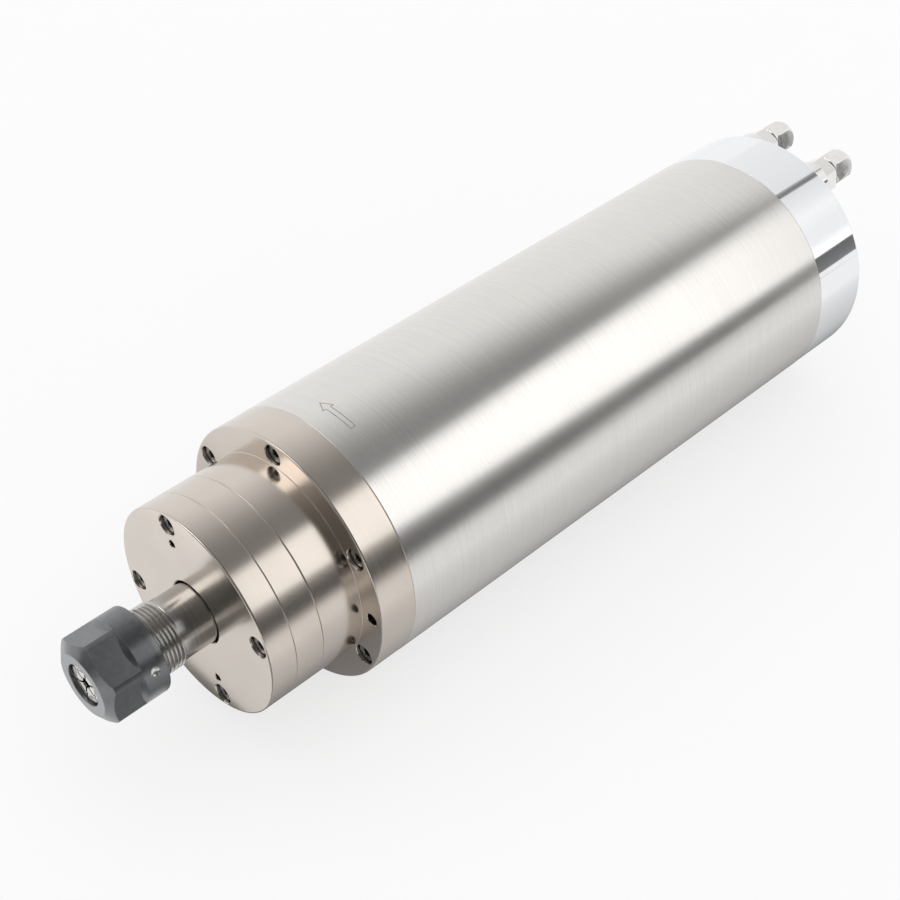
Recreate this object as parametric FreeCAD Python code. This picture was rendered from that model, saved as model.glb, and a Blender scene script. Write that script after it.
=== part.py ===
import FreeCAD, Part
import math
import os

# A water cooled motor spindle with a collet nose, in millimetres.
# The axis of the shaft is X, the nose points to -X, the rear cap to +X, and +Z is up.
# The origin is the middle of the ground sleeve, on the axis. Angles about the axis start at +Z
# and grow towards +Y.

# Housing
sleeve_diameter = 100.0
sleeve_length = 230.5
sleeve_wall = 3.0
end_relief = 0.1
flange_thickness = 15.2
flange_chamfer = 1.0
boss_clearance = 0.75
boss_length = 17.2
clamp_ring_length = 11.5
nose_cap_length = 10.6
nose_chamfer = 1.0
edge_break = 0.35
spigot_length = 10.0
clamp_sleeve_proud = 1.0
clamp_spigot_length = 2.0

# Fits, on the radius
slip_fit = 0.03
running_gap = 0.05
journal_fit = 0.01
labyrinth_gap = 0.4
seal_gap = 0.5
neck_gap = 1.03

# How far a cutting tool runs past a face, and a drilled hole past its screw
past = 1.0
drill_past = 0.5

# Water jacket
jacket_wall = 10.5
jacket_end_wall = 15.0
channel_depth = 4.5
channel_count = 8
channel_rib = 6.0
channel_crossing = 12.0
channel_rib_root = 0.5
port_hole_diameter = 3.6
seal_groove_width = 2.6
seal_groove_depth = 1.6
seal_inset = 10.5
seal_to_port = 0.2
seal_side_gap = 0.1
seal_seat_gap = 0.02

# Shaft
neck_diameter = 23.0
thread_diameter = 24.9
thread_run_out = 12.5
collar_diameter = 37.0
rear_shoulder_height = 1.8
shaft_tail = 10.0
drawn_bore_diameter = 11.0
drawn_bore_length = 30.0
collar_rim = 1.5
lip_thickness = 1.6
lip_length = 2.0

# Collet and its nut
nut_standoff = 22.4
nut_length = 23.0
nut_diameter = 32.6
nut_flats = 29.2
nut_hex_length = 9.2
nut_shoulder_overrun = 0.5
nut_hex_angle = -3.1
nut_mouth_diameter = 15.7
nut_face_diameter = 23.6
nut_chamfer_length = 3.0
nut_mark_diameter = 2.6
nut_mark_depth = 1.2
nut_mark_from_rear = 5.0
nut_mark_angle = -70.9
shaft_recess = 9.5
collet_recess = 2.2
collet_length = 31.5
collet_diameter = 21.0
collet_half_angle = 8.0
collet_nose_angle = 30.0
collet_nose_diameter = 16.4
collet_nose_length = 3.4
collet_nose_land = 0.4
collet_groove_diameter = 17.4
collet_groove_width = 2.2
collet_bore_diameter = 4.0
collet_grip_length = 20.0
collet_relief_diameter = 6.0
collet_slots = 6
collet_slot_width = 0.6
collet_slot_land = 6.5
collet_seat_overrun = 1.0
extractor_width = 1.6
extractor_play = 0.3

# Bearings
front_bearing_diameter = 55.0
front_bearing_width = 13.0
front_bearing_section = 12.5
rear_bearing_diameter = 47.0
rear_bearing_width = 12.0
rear_bearing_section = 11.0
bearing_land = 3.4
bearing_spacer = 4.0
race_depth = 0.9
open_side_relief = 0.6
ball_set_width = 7.0
ball_crown = 0.6
ball_crown_width = 2.8
lock_nut_width = 8.0
lock_nut_wall = 4.5
spanner_slots = 4
spanner_slot_width = 4.0
spanner_slot_depth = 1.8
spring_thickness = 2.0
spring_play = 0.3
rear_hub_wall = 5.0
rear_flange_ledge = 4.5
rear_flange_thickness = 6.0

# Motor
front_winding_gap = 1.0
rear_winding_gap = 13.5
back_iron = 4.5
air_gap = 0.5
slot_count = 18
slot_width = 3.6
slot_depth = 7.5
slot_lip = 2.5
wire_clearance = 0.2
winding_from_stack = 1.0
winding_head_length = 20.0
winding_round_length = 4.0
winding_corner = 1.5
winding_swell = 1.2
winding_root = 0.5
rotor_wall = 7.0
end_ring_length = 8.0
end_ring_step = 1.0

# Rear cap
rear_cap_length = 26.8
rear_cap_wall = 4.0
rear_plate = 8.0
rear_chamfer = 0.6
screw_boss_diameter = 10.0
boss_root = 1.0

# Socket head screws: the shank, the head and its counterbore
screw_diameter = 4.0
screw_head_diameter = 7.0
screw_head_height = 4.0
screw_key = 3.0
screw_key_depth = 2.2
counterbore_diameter = 7.7
head_sink = 1.3
screw_grip = 9.0
screw_clearance = 0.15
nose_screw_count = 4
nose_screw_inset = 4.8
nose_screw_angle = 17.7
flange_screw_count = 6
flange_screw_rim = 0.25
flange_screw_angle = 4.5
rear_screw_count = 4
rear_screw_rim = 0.85
rear_screw_angle = 45.0
hub_screw_count = 6
hub_screw_diameter = 3.0
hub_screw_head = 4.5
hub_screw_key = 2.5
hub_screw_sink = 0.3
hub_screw_offset = 2.0
hub_screw_angle = 0.0
hub_screw_grip = 6.0

# Tapped holes in the nose face and in the flange, for a puller or a dust shoe
nose_tap_diameter = 3.0
nose_tap_step = 7.5
nose_tap_angle = 18.7
nose_tap_depth = 7.0
flange_tap_diameter = 4.6
flange_tap_angle = -86.9
flange_tap_depth = 10.0

# Hose fittings
fitting_inset = 8.8
fitting_angle = 21.5
fitting_collar_diameter = 16.8
fitting_collar_length = 4.7
fitting_hex = 14.0
fitting_hex_length = 7.5
fitting_hex_angle = 10.0
fitting_hex_root = 0.5
fitting_thread_diameter = 10.0
fitting_thread_length = 9.0
fitting_stub_length = 7.0
fitting_bore_diameter = 4.0
hose_diameter = 6.2
hose_socket_depth = 12.0
fitting_boss_diameter = 17.0
union_nut_gap = 1.4
union_nut_flats = 12.6
union_nut_hex_length = 6.0
union_nut_dome_length = 6.2
union_nut_tip_diameter = 8.0
union_nut_angle = 25.0
union_nut_chamfer = 0.8
union_nut_play = 0.3
union_cone_length = 0.9
union_bore_end = 1.0
dome_steps = 6
ferrule_length = 4.0
ferrule_wall = 1.4
ferrule_nose = 1.5
ferrule_edge = 0.25
ferrule_back_length = 0.8
ferrule_back_edge = 0.5

# Power receptacle
receptacle_drop = 16.0
receptacle_diameter = 19.0
receptacle_bore = 15.4
receptacle_length = 15.0
receptacle_flange = 25.0
receptacle_flange_thickness = 3.0
receptacle_socket_depth = 12.0
receptacle_tail = 5.0
receptacle_tail_wall = 1.2
receptacle_corner = 2.0
receptacle_screw_spacing = 18.6
receptacle_screw_diameter = 3.0
receptacle_screw_head = 5.0
receptacle_screw_head_height = 2.4
receptacle_screw_key = 2.0
receptacle_screw_grip = 6.0
pin_count = 4
pin_angle = 45.0
pin_diameter = 2.4
pin_circle = 8.0
pin_length = 6.4
pin_point_length = 0.6
pin_point_diameter = 1.2
pin_tail = 4.0
pin_tail_diameter = 1.9
key_width = 2.0
key_height = 1.0
key_setback = 1.0
key_root = 0.5
key_gap = 0.05

# Stations along the axis
sleeve_front = -sleeve_length / 2
sleeve_rear = sleeve_length / 2
flange_face = sleeve_front - flange_thickness
boss_front = flange_face - boss_length
ring_front = boss_front - clamp_ring_length
nose_face = ring_front - nose_cap_length
cap_face = sleeve_rear + rear_cap_length
nut_rear = nose_face - nut_standoff
nut_front = nut_rear - nut_length
shaft_front = nut_front + shaft_recess
collet_face = nut_front + collet_recess
collet_groove = collet_face + collet_nose_length
collet_taper = collet_groove + collet_groove_width
collet_end = collet_face + collet_length
front_bearing_a = boss_front + clamp_spigot_length
front_spacer = front_bearing_a + front_bearing_width
front_bearing_b = front_spacer + bearing_spacer
front_shoulder = front_bearing_b + front_bearing_width
spigot_end = sleeve_front + spigot_length
front_sleeve_end = spigot_end + clamp_sleeve_proud
front_lock_end = front_sleeve_end + lock_nut_width
winding_overhang = winding_from_stack + winding_head_length
stack_front = front_lock_end + front_winding_gap + winding_overhang
rear_bearing_b = sleeve_rear - lock_nut_width / 2 - rear_bearing_width
rear_bearing_a = rear_bearing_b - rear_bearing_width
rear_shoulder = rear_bearing_a - spring_thickness
rear_hub_front = rear_shoulder - rear_hub_wall
stack_rear = rear_hub_front - rear_winding_gap - winding_overhang
rotor_end = stack_rear + end_ring_length + end_ring_step
shaft_end = sleeve_rear + shaft_tail

# Radii that several pieces share
end_radius = sleeve_diameter / 2 - end_relief
sleeve_bore = sleeve_diameter / 2 - sleeve_wall
jacket_bore = sleeve_bore - jacket_wall
channel_floor = sleeve_bore - channel_depth
port_radius = sleeve_bore - seal_groove_depth - seal_to_port - port_hole_diameter / 2
front_seat = front_bearing_diameter / 2
rear_seat = rear_bearing_diameter / 2
front_journal = front_seat - front_bearing_section
rear_journal = rear_seat - rear_bearing_section
rear_flange_radius = jacket_bore + rear_flange_ledge
slot_top = jacket_bore - back_iron
slot_bottom = slot_top - slot_depth
stator_bore = slot_bottom - slot_lip
rotor_radius = stator_bore - air_gap
rotor_seat = rotor_radius - rotor_wall
nose_bore = neck_diameter / 2 + neck_gap
lip_radius = collar_diameter / 2 - collar_rim - labyrinth_gap - lip_thickness

# Screw and fitting circles
screw_hole = screw_diameter + 2 * screw_clearance
flange_screw_circle = 2 * (sleeve_bore - flange_screw_rim) - screw_hole
rear_screw_circle = 2 * (sleeve_bore - rear_screw_rim) - screw_hole
boss_diameter = flange_screw_circle - counterbore_diameter - 2 * boss_clearance
nose_screw_circle = boss_diameter - 2 * nose_screw_inset
nose_tap_circle = nose_screw_circle - 2 * nose_tap_step
hub_screw_circle = 2 * (jacket_bore + hub_screw_offset)
hub_screw_hole = hub_screw_diameter + 2 * screw_clearance
fitting_circle = sleeve_diameter - 2 * fitting_inset

X_AXIS = FreeCAD.Vector(1, 0, 0)
Z_AXIS = FreeCAD.Vector(0, 0, 1)


def rod(x0, x1, radius, y=0.0, z=0.0):
    """A cylinder along X from x0 to x1."""
    return Part.makeCylinder(radius, x1 - x0, FreeCAD.Vector(x0, y, z), X_AXIS)


def tube(x0, x1, outer, inner):
    """A ring about the axis."""
    return rod(x0, x1, outer).cut(rod(x0 - past, x1 + past, inner))


def turned(points, y=0.0, z=0.0):
    """A closed outline of (x, radius) points turned about an axis along X."""
    corners = [FreeCAD.Vector(x, 0, radius) for x, radius in points]
    outline = Part.makePolygon(corners + corners[:1])
    solid = Part.Face(outline).revolve(FreeCAD.Vector(0, 0, 0), X_AXIS, 360)
    solid.translate(FreeCAD.Vector(0, y, z))
    return solid


def across(circle, angle):
    """The (y, z) of a point on a circle of the given diameter."""
    turn = math.radians(angle)
    return circle / 2 * math.sin(turn), circle / 2 * math.cos(turn)


def hex_bar(x0, x1, flats, y=0.0, z=0.0, angle=0.0):
    """A hexagonal bar along X, with a corner at the given angle."""
    corners = []
    for step in range(7):
        cy, cz = across(flats * 2 / math.sqrt(3), angle + 60 * step)
        corners.append(FreeCAD.Vector(x0, y + cy, z + cz))
    return Part.Face(Part.makePolygon(corners)).extrude(FreeCAD.Vector(x1 - x0, 0, 0))


def ring_of(count, start, circle, make):
    """Copies of what make(y, z) returns, evenly round a circle."""
    return [make(*across(circle, start + 360 / count * step)) for step in range(count)]


def cut_all(solid, tools):
    """The solid with every tool taken out of it."""
    return solid.cut(tools) if tools else solid


def save(node, shapes):
    """Write one node; a list becomes a group of separate solids."""
    if isinstance(shapes, list):
        shape = Part.makeCompound(shapes)
        count = len(shapes)
    else:
        shape = shapes
        count = 1
    if len(shape.Solids) != count or not shape.isValid():
        raise ValueError(node + " is not " + str(count) + " valid solids")
    shape.exportStep("parts/" + node + ".step")


def cap_screw(x, direction, length, diameter, head_diameter, head_height, key, y, z):
    """A socket head screw whose head rests on the plane x; direction is the way it points."""
    shank = rod(0, length, diameter / 2)
    head = rod(-head_height, 0, head_diameter / 2)
    socket = hex_bar(-head_height - past, -head_height + screw_key_depth, key)
    screw = head.fuse(shank).cut(socket).removeSplitter()
    if direction < 0:
        screw.rotate(FreeCAD.Vector(0, 0, 0), Z_AXIS, 180)
    screw.translate(FreeCAD.Vector(x, y, z))
    return screw


def screws(count, start, circle, x, direction, length):
    """A ring of the housing's screws."""
    return ring_of(count, start, circle, lambda y, z: cap_screw(
        x, direction, length, screw_diameter, screw_head_diameter, screw_head_height, screw_key, y, z))


def holes(count, start, circle, x0, x1, diameter):
    """A ring of straight holes."""
    return ring_of(count, start, circle, lambda y, z: rod(x0, x1, diameter / 2, y, z))


nose_seat = nose_face + screw_head_height + head_sink
flange_seat = flange_face + screw_head_height + head_sink
rear_seat_plane = cap_face - screw_head_height - head_sink
nose_screw_end = boss_front + screw_grip
flange_screw_end = sleeve_front + screw_grip
rear_screw_end = sleeve_rear - screw_grip


def outer_sleeve():
    """The ground stainless tube that a spindle clamp grips."""
    outer = sleeve_diameter / 2
    return turned([
        (sleeve_front, sleeve_bore), (sleeve_front, outer - edge_break),
        (sleeve_front + edge_break, outer), (sleeve_rear - edge_break, outer),
        (sleeve_rear, outer - edge_break), (sleeve_rear, sleeve_bore)])


def channel_ribs():
    """Ribs that fold the coolant path: it goes along one channel and back along the next."""
    front = sleeve_front + jacket_end_wall
    rear = sleeve_rear - jacket_end_wall
    ring = tube(front - past, rear + past, sleeve_bore - slip_fit, channel_floor - channel_rib_root)
    ribs = []
    for step in range(channel_count):
        x0 = front - channel_rib_root
        x1 = rear + channel_rib_root
        if step % 2 == 1:
            x0 = front + channel_crossing
        elif step > 0:
            x1 = rear - channel_crossing
        bar = Part.makeBox(x1 - x0, channel_rib, sleeve_bore, FreeCAD.Vector(x0, -channel_rib / 2, 0))
        bar.rotate(FreeCAD.Vector(0, 0, 0), X_AXIS, 360 / channel_count * step)
        ribs.append(bar.common(ring))
    return ribs


def water_jacket():
    """The inner tube of the housing, with coolant channels milled in its outside."""
    outer = sleeve_bore - slip_fit
    flange_pocket = sleeve_rear - rear_flange_thickness
    channels_end = sleeve_rear - jacket_end_wall
    body = tube(sleeve_front, sleeve_rear, outer, jacket_bore)
    channels = tube(sleeve_front + jacket_end_wall, channels_end, outer + past, channel_floor)
    body = body.cut(channels).fuse(channel_ribs())
    inner_end = sleeve_front + seal_inset
    outer_end = sleeve_rear - seal_inset
    grooves = [
        tube(inner_end, inner_end + seal_groove_width, outer + past, outer - seal_groove_depth),
        tube(outer_end - seal_groove_width, outer_end, outer + past, outer - seal_groove_depth)]
    tools = [rod(flange_pocket, sleeve_rear + past, rear_flange_radius + slip_fit)]
    tools += holes(flange_screw_count, flange_screw_angle, flange_screw_circle,
                   sleeve_front - past, flange_screw_end + drill_past, screw_hole)
    tools += holes(rear_screw_count, rear_screw_angle, rear_screw_circle,
                   rear_screw_end - drill_past, sleeve_rear + past, screw_hole)
    tools += holes(hub_screw_count, hub_screw_angle, hub_screw_circle,
                   flange_pocket - hub_screw_grip - drill_past, flange_pocket + past, hub_screw_hole)
    for side in (-1, 1):
        y, z = across(2 * port_radius, side * fitting_angle)
        tools.append(rod(channels_end - past, sleeve_rear + past, port_hole_diameter / 2, y, z))
    return body.cut(grooves + tools).removeSplitter()


def jacket_seal(start):
    """A rubber ring squeezed square in its groove under the sleeve."""
    outer = sleeve_bore - slip_fit
    return tube(start + seal_side_gap, start + seal_groove_width - seal_side_gap,
                outer, outer - seal_groove_depth + seal_seat_gap)


def front_housing():
    """Flange, nose boss and spigot in one turned piece, bored for the front bearings."""
    boss = boss_diameter / 2
    body = turned([
        (boss_front, front_seat + slip_fit), (boss_front, boss - edge_break),
        (boss_front + edge_break, boss), (flange_face, boss),
        (flange_face, end_radius - flange_chamfer), (flange_face + flange_chamfer, end_radius),
        (sleeve_front, end_radius), (sleeve_front, jacket_bore - slip_fit),
        (spigot_end, jacket_bore - slip_fit), (spigot_end, front_seat - bearing_land),
        (front_shoulder, front_seat - bearing_land), (front_shoulder, front_seat + slip_fit)])
    tools = holes(flange_screw_count, flange_screw_angle, flange_screw_circle,
                  flange_face - past, sleeve_front + past, screw_hole)
    tools += holes(flange_screw_count, flange_screw_angle, flange_screw_circle,
                   flange_face - past, flange_seat, counterbore_diameter)
    tools += holes(2, flange_tap_angle, flange_screw_circle,
                   flange_face - past, flange_face + flange_tap_depth, flange_tap_diameter)
    tools += holes(nose_screw_count, nose_screw_angle, nose_screw_circle,
                   boss_front - past, nose_screw_end + drill_past, screw_hole)
    return cut_all(body, tools)


def bearing_clamp_ring():
    """The ring that holds the front bearings back against their shoulder."""
    radius = boss_diameter / 2
    bore = collar_diameter / 2 + seal_gap
    body = turned([
        (ring_front, bore), (ring_front, radius - edge_break), (ring_front + edge_break, radius),
        (boss_front - edge_break, radius), (boss_front, radius - edge_break),
        (boss_front, front_seat - slip_fit), (front_bearing_a, front_seat - slip_fit),
        (front_bearing_a, front_seat - bearing_land), (boss_front, front_seat - bearing_land),
        (boss_front, bore)])
    return cut_all(body, holes(nose_screw_count, nose_screw_angle, nose_screw_circle,
                               ring_front - past, boss_front + past, screw_hole))


def nose_cap():
    """The front cover, with a lip that runs in a groove of the shaft collar."""
    radius = boss_diameter / 2
    lip_end = ring_front + lip_length
    body = turned([
        (nose_face, nose_bore), (nose_face, radius - nose_chamfer),
        (nose_face + nose_chamfer, radius), (ring_front - edge_break, radius),
        (ring_front, radius - edge_break), (ring_front, lip_radius + lip_thickness),
        (lip_end, lip_radius + lip_thickness), (lip_end, lip_radius),
        (ring_front, lip_radius), (ring_front, nose_bore)])
    tools = holes(nose_screw_count, nose_screw_angle, nose_screw_circle,
                  nose_face - past, ring_front + past, screw_hole)
    tools += holes(nose_screw_count, nose_screw_angle, nose_screw_circle,
                   nose_face - past, nose_seat, counterbore_diameter)
    tools += holes(2, nose_tap_angle, nose_tap_circle,
                   nose_face - past, nose_face + nose_tap_depth, nose_tap_diameter)
    return cut_all(body, tools)


collar_front = ring_front + labyrinth_gap
collar_groove = collar_front + lip_length
taper_slope = math.tan(math.radians(collet_half_angle))
collet_small = collet_diameter / 2 - (collet_end - collet_taper) * taper_slope
seat_end = collet_end + collet_seat_overrun


def seat_radius(x):
    """The radius of the taper seat in the shaft at x."""
    return collet_diameter / 2 + running_gap - (x - collet_taper) * taper_slope


def shaft():
    """The spindle shaft: collet seat, thread, labyrinth collar, bearing journals and rotor seat."""
    outline = [
        (shaft_front, seat_radius(shaft_front)),
        (shaft_front, thread_diameter / 2 - edge_break),
        (shaft_front + edge_break, thread_diameter / 2),
        (nose_face - thread_run_out, thread_diameter / 2),
        (nose_face - thread_run_out, neck_diameter / 2),
        (collar_front, neck_diameter / 2),
        (collar_front, lip_radius - labyrinth_gap),
        (collar_groove, lip_radius - labyrinth_gap),
        (collar_groove, lip_radius + lip_thickness + labyrinth_gap),
        (collar_front, lip_radius + lip_thickness + labyrinth_gap),
        (collar_front, collar_diameter / 2),
        (front_bearing_a, collar_diameter / 2),
        (front_bearing_a, front_journal),
        (front_lock_end, front_journal),
        (front_lock_end, rotor_seat),
        (rotor_end, rotor_seat),
        (rotor_end, rear_journal + rear_shoulder_height),
        (rear_bearing_a, rear_journal + rear_shoulder_height),
        (rear_bearing_a, rear_journal),
        (shaft_end - nose_chamfer, rear_journal),
        (shaft_end, rear_journal - nose_chamfer),
        (shaft_end, 0),
        (seat_end + drawn_bore_length, 0),
        (seat_end + drawn_bore_length, drawn_bore_diameter / 2),
        (seat_end, drawn_bore_diameter / 2),
        (seat_end, seat_radius(seat_end))]
    return turned(outline)


def collet():
    """A spring collet: a slit sleeve with an 8 degree cone, a nose cone and an extractor groove."""
    nose = collet_nose_diameter / 2
    shoulder = nose + (collet_nose_length - collet_nose_land) * math.tan(math.radians(collet_nose_angle))
    body = turned([
        (collet_face, collet_bore_diameter / 2), (collet_face, nose),
        (collet_groove - collet_nose_land, shoulder), (collet_groove, shoulder),
        (collet_groove, collet_groove_diameter / 2), (collet_taper, collet_groove_diameter / 2),
        (collet_taper, collet_diameter / 2), (collet_end, collet_small),
        (collet_end, collet_relief_diameter / 2),
        (collet_face + collet_grip_length, collet_relief_diameter / 2),
        (collet_face + collet_grip_length, collet_bore_diameter / 2)])
    slots = []
    for step in range(2 * collet_slots):
        x0 = collet_face - past
        x1 = collet_end - collet_slot_land
        if step % 2:
            x0 = collet_face + collet_slot_land
            x1 = collet_end + past
        slot = Part.makeBox(x1 - x0, collet_slot_width, collet_diameter,
                            FreeCAD.Vector(x0, -collet_slot_width / 2, 0))
        slot.rotate(FreeCAD.Vector(0, 0, 0), X_AXIS, 180 / collet_slots * step)
        slots.append(slot)
    return body.cut(slots)


thread_bore = thread_diameter / 2 + running_gap
cone_slope = math.tan(math.radians(collet_nose_angle))
extractor_bore = collet_groove_diameter / 2 + running_gap * 2
extractor_front = collet_groove + extractor_play
extractor_rear = extractor_front + extractor_width


def nut_cone(x):
    """The radius of the nut's inner cone at x, just clear of the collet's nose."""
    return collet_nose_diameter / 2 + running_gap * 2 + (x - collet_face) * cone_slope


def collet_nut():
    """The clamping nut: turned round, with six flats milled in front and a cone on the collet's nose."""
    radius = nut_diameter / 2
    low = nut_flats / 2
    shoulder = nut_front + nut_chamfer_length + nut_hex_length
    shoulder_end = shoulder + radius - low
    lip_back = collet_face - running_gap * 2
    blank = turned([
        (nut_front, nut_mouth_diameter / 2), (nut_front, nut_face_diameter / 2),
        (nut_front + nut_chamfer_length, radius), (nut_rear - edge_break * 2, radius),
        (nut_rear, radius - edge_break * 2),
        (nut_rear, thread_bore), (extractor_rear, thread_bore),
        (extractor_front, thread_bore), (extractor_front, nut_cone(extractor_front)),
        (lip_back, nut_cone(lip_back)), (lip_back, nut_mouth_diameter / 2)])
    start = shoulder - nut_shoulder_overrun
    skirt = turned([
        (start, thread_bore - past), (start, low - nut_shoulder_overrun),
        (shoulder_end + past, radius + past), (nut_rear + past, radius + past),
        (nut_rear + past, thread_bore - past)])
    hexagon = hex_bar(nut_front - past, shoulder_end + past, nut_flats, angle=nut_hex_angle)
    bore = rod(nut_front - 2 * past, shoulder_end + 2 * past, nut_mouth_diameter / 2 - past)
    hexagon = hexagon.cut(bore)
    body = blank.common(hexagon.fuse(skirt))
    y, z = across(nut_diameter, nut_mark_angle)
    outward = FreeCAD.Vector(0, y, z)
    outward.normalize()
    foot = outward * (radius - nut_mark_depth)
    mark = Part.makeCylinder(nut_mark_diameter / 2, nut_mark_depth + past,
                             FreeCAD.Vector(nut_rear - nut_mark_from_rear, foot.y, foot.z), outward)
    return body.cut(mark)


def extractor_ring():
    """The loose ring in the nut that draws the collet out by its groove."""
    return tube(extractor_front, extractor_rear, thread_bore - slip_fit, extractor_bore)


def inner_ring(x, width, journal):
    """The ring that turns with the shaft, with a race groove in its outside."""
    inner = journal + journal_fit
    outer = journal + bearing_land
    middle = x + width / 2
    half = ball_set_width / 2
    return turned([
        (x, inner), (x, outer), (middle - half, outer), (middle - half / 2, outer - race_depth),
        (middle + half / 2, outer - race_depth), (middle + half, outer),
        (x + width, outer), (x + width, inner)])


def outer_ring(x, width, seat):
    """The ring held by the housing, open on one side as an angular contact bearing is."""
    inner = seat - bearing_land
    middle = x + width / 2
    half = ball_set_width / 2
    return turned([
        (x, seat), (x + width, seat), (x + width, inner + open_side_relief), (middle + half, inner),
        (middle + half / 2, inner + race_depth), (middle - half / 2, inner + race_depth),
        (middle - half, inner), (x, inner)])


def ball_set(x, width, journal, seat):
    """The balls and their cage as one ring between the races."""
    middle = x + width / 2
    half = ball_set_width / 2
    low = journal + bearing_land + running_gap * 4
    high = seat - bearing_land - running_gap * 4
    crown = ball_crown_width / 2
    return turned([
        (middle - half, low), (middle - crown, low - ball_crown), (middle + crown, low - ball_crown),
        (middle + half, low), (middle + half, high), (middle + crown, high + ball_crown),
        (middle - crown, high + ball_crown), (middle - half, high)])


def lock_nut(x, journal):
    """A ring nut with spanner slots round its rim."""
    outer = journal + lock_nut_wall
    body = tube(x, x + lock_nut_width, outer, journal + journal_fit)
    slots = []
    for step in range(spanner_slots):
        slot = Part.makeBox(lock_nut_width + 2 * past, spanner_slot_width, spanner_slot_depth + past,
                            FreeCAD.Vector(x - past, -spanner_slot_width / 2, outer - spanner_slot_depth))
        slot.rotate(FreeCAD.Vector(0, 0, 0), X_AXIS, 360 / spanner_slots * step)
        slots.append(slot)
    return body.cut(slots)


hub_screw_seat = sleeve_rear - hub_screw_diameter - hub_screw_sink


def rear_bearing_housing():
    """The hub that carries the rear bearings, set in the jacket and screwed to it."""
    flange = rear_flange_radius
    flange_front = sleeve_rear - rear_flange_thickness
    body = turned([
        (rear_hub_front, rear_seat - bearing_land), (rear_hub_front, jacket_bore - slip_fit),
        (flange_front, jacket_bore - slip_fit), (flange_front, flange), (sleeve_rear, flange),
        (sleeve_rear, rear_seat + slip_fit), (rear_shoulder, rear_seat + slip_fit),
        (rear_shoulder, rear_seat - bearing_land)])
    head = holes(hub_screw_count, hub_screw_angle, hub_screw_circle,
                 hub_screw_seat, sleeve_rear + past, hub_screw_head + 2 * screw_clearance)
    shank = holes(hub_screw_count, hub_screw_angle, hub_screw_circle,
                  flange_front - past, sleeve_rear, hub_screw_hole)
    return body.cut(head + shank)


def hub_screws():
    """Six small screws that hold the rear bearing housing."""
    length = hub_screw_seat - (sleeve_rear - rear_flange_thickness - hub_screw_grip)
    return ring_of(hub_screw_count, hub_screw_angle, hub_screw_circle, lambda y, z: cap_screw(
        hub_screw_seat, -1, length, hub_screw_diameter, hub_screw_head, hub_screw_diameter,
        hub_screw_key, y, z))


def slot_bars(width, x0, x1, low, high):
    """One straight bar in each stator slot."""
    bars = []
    for step in range(slot_count):
        bar = Part.makeBox(x1 - x0, width, high - low, FreeCAD.Vector(x0, -width / 2, low))
        bar.rotate(FreeCAD.Vector(0, 0, 0), X_AXIS, 360 / slot_count * step)
        bars.append(bar)
    return bars


def stator_core():
    """The stack of laminations, with slots for the windings."""
    body = tube(stack_front, stack_rear, jacket_bore - slip_fit, stator_bore)
    return body.cut(slot_bars(slot_width, stack_front - past, stack_rear + past, slot_bottom, slot_top))


def stator_winding():
    """The copper: bars in the slots and a rounded head at each end."""
    low = slot_bottom + wire_clearance
    high = slot_top - wire_clearance
    heads = []
    for x, way in ((stack_front - winding_from_stack, -1), (stack_rear + winding_from_stack, 1)):
        end = x + way * winding_head_length
        shoulder = end - way * winding_round_length
        heads.append(turned([
            (x, low), (shoulder, low - winding_swell), (end, low + winding_corner),
            (end, high - winding_corner), (shoulder, high + winding_swell), (x, high)]))
    front = stack_front - winding_from_stack - winding_root
    rear = stack_rear + winding_from_stack + winding_root
    bars = slot_bars(slot_width - 2 * wire_clearance, front, rear, low, high)
    bars = [bar.common(tube(front, rear, high, low)) for bar in bars]
    return heads[0].fuse(bars + heads[1:])


def rotor_core():
    """The rotor stack, shrunk on the shaft."""
    return tube(stack_front, stack_rear, rotor_radius, rotor_seat + journal_fit)


def rotor_end_rings():
    """The two short circuit rings, also turned for balance."""
    outer = rotor_radius - end_ring_step
    bore = rotor_seat + journal_fit
    return [tube(stack_front - end_ring_length, stack_front, outer, bore),
            tube(stack_rear, stack_rear + end_ring_length, outer, bore)]


receptacle_tail_radius = receptacle_bore / 2 + receptacle_tail_wall


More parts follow.
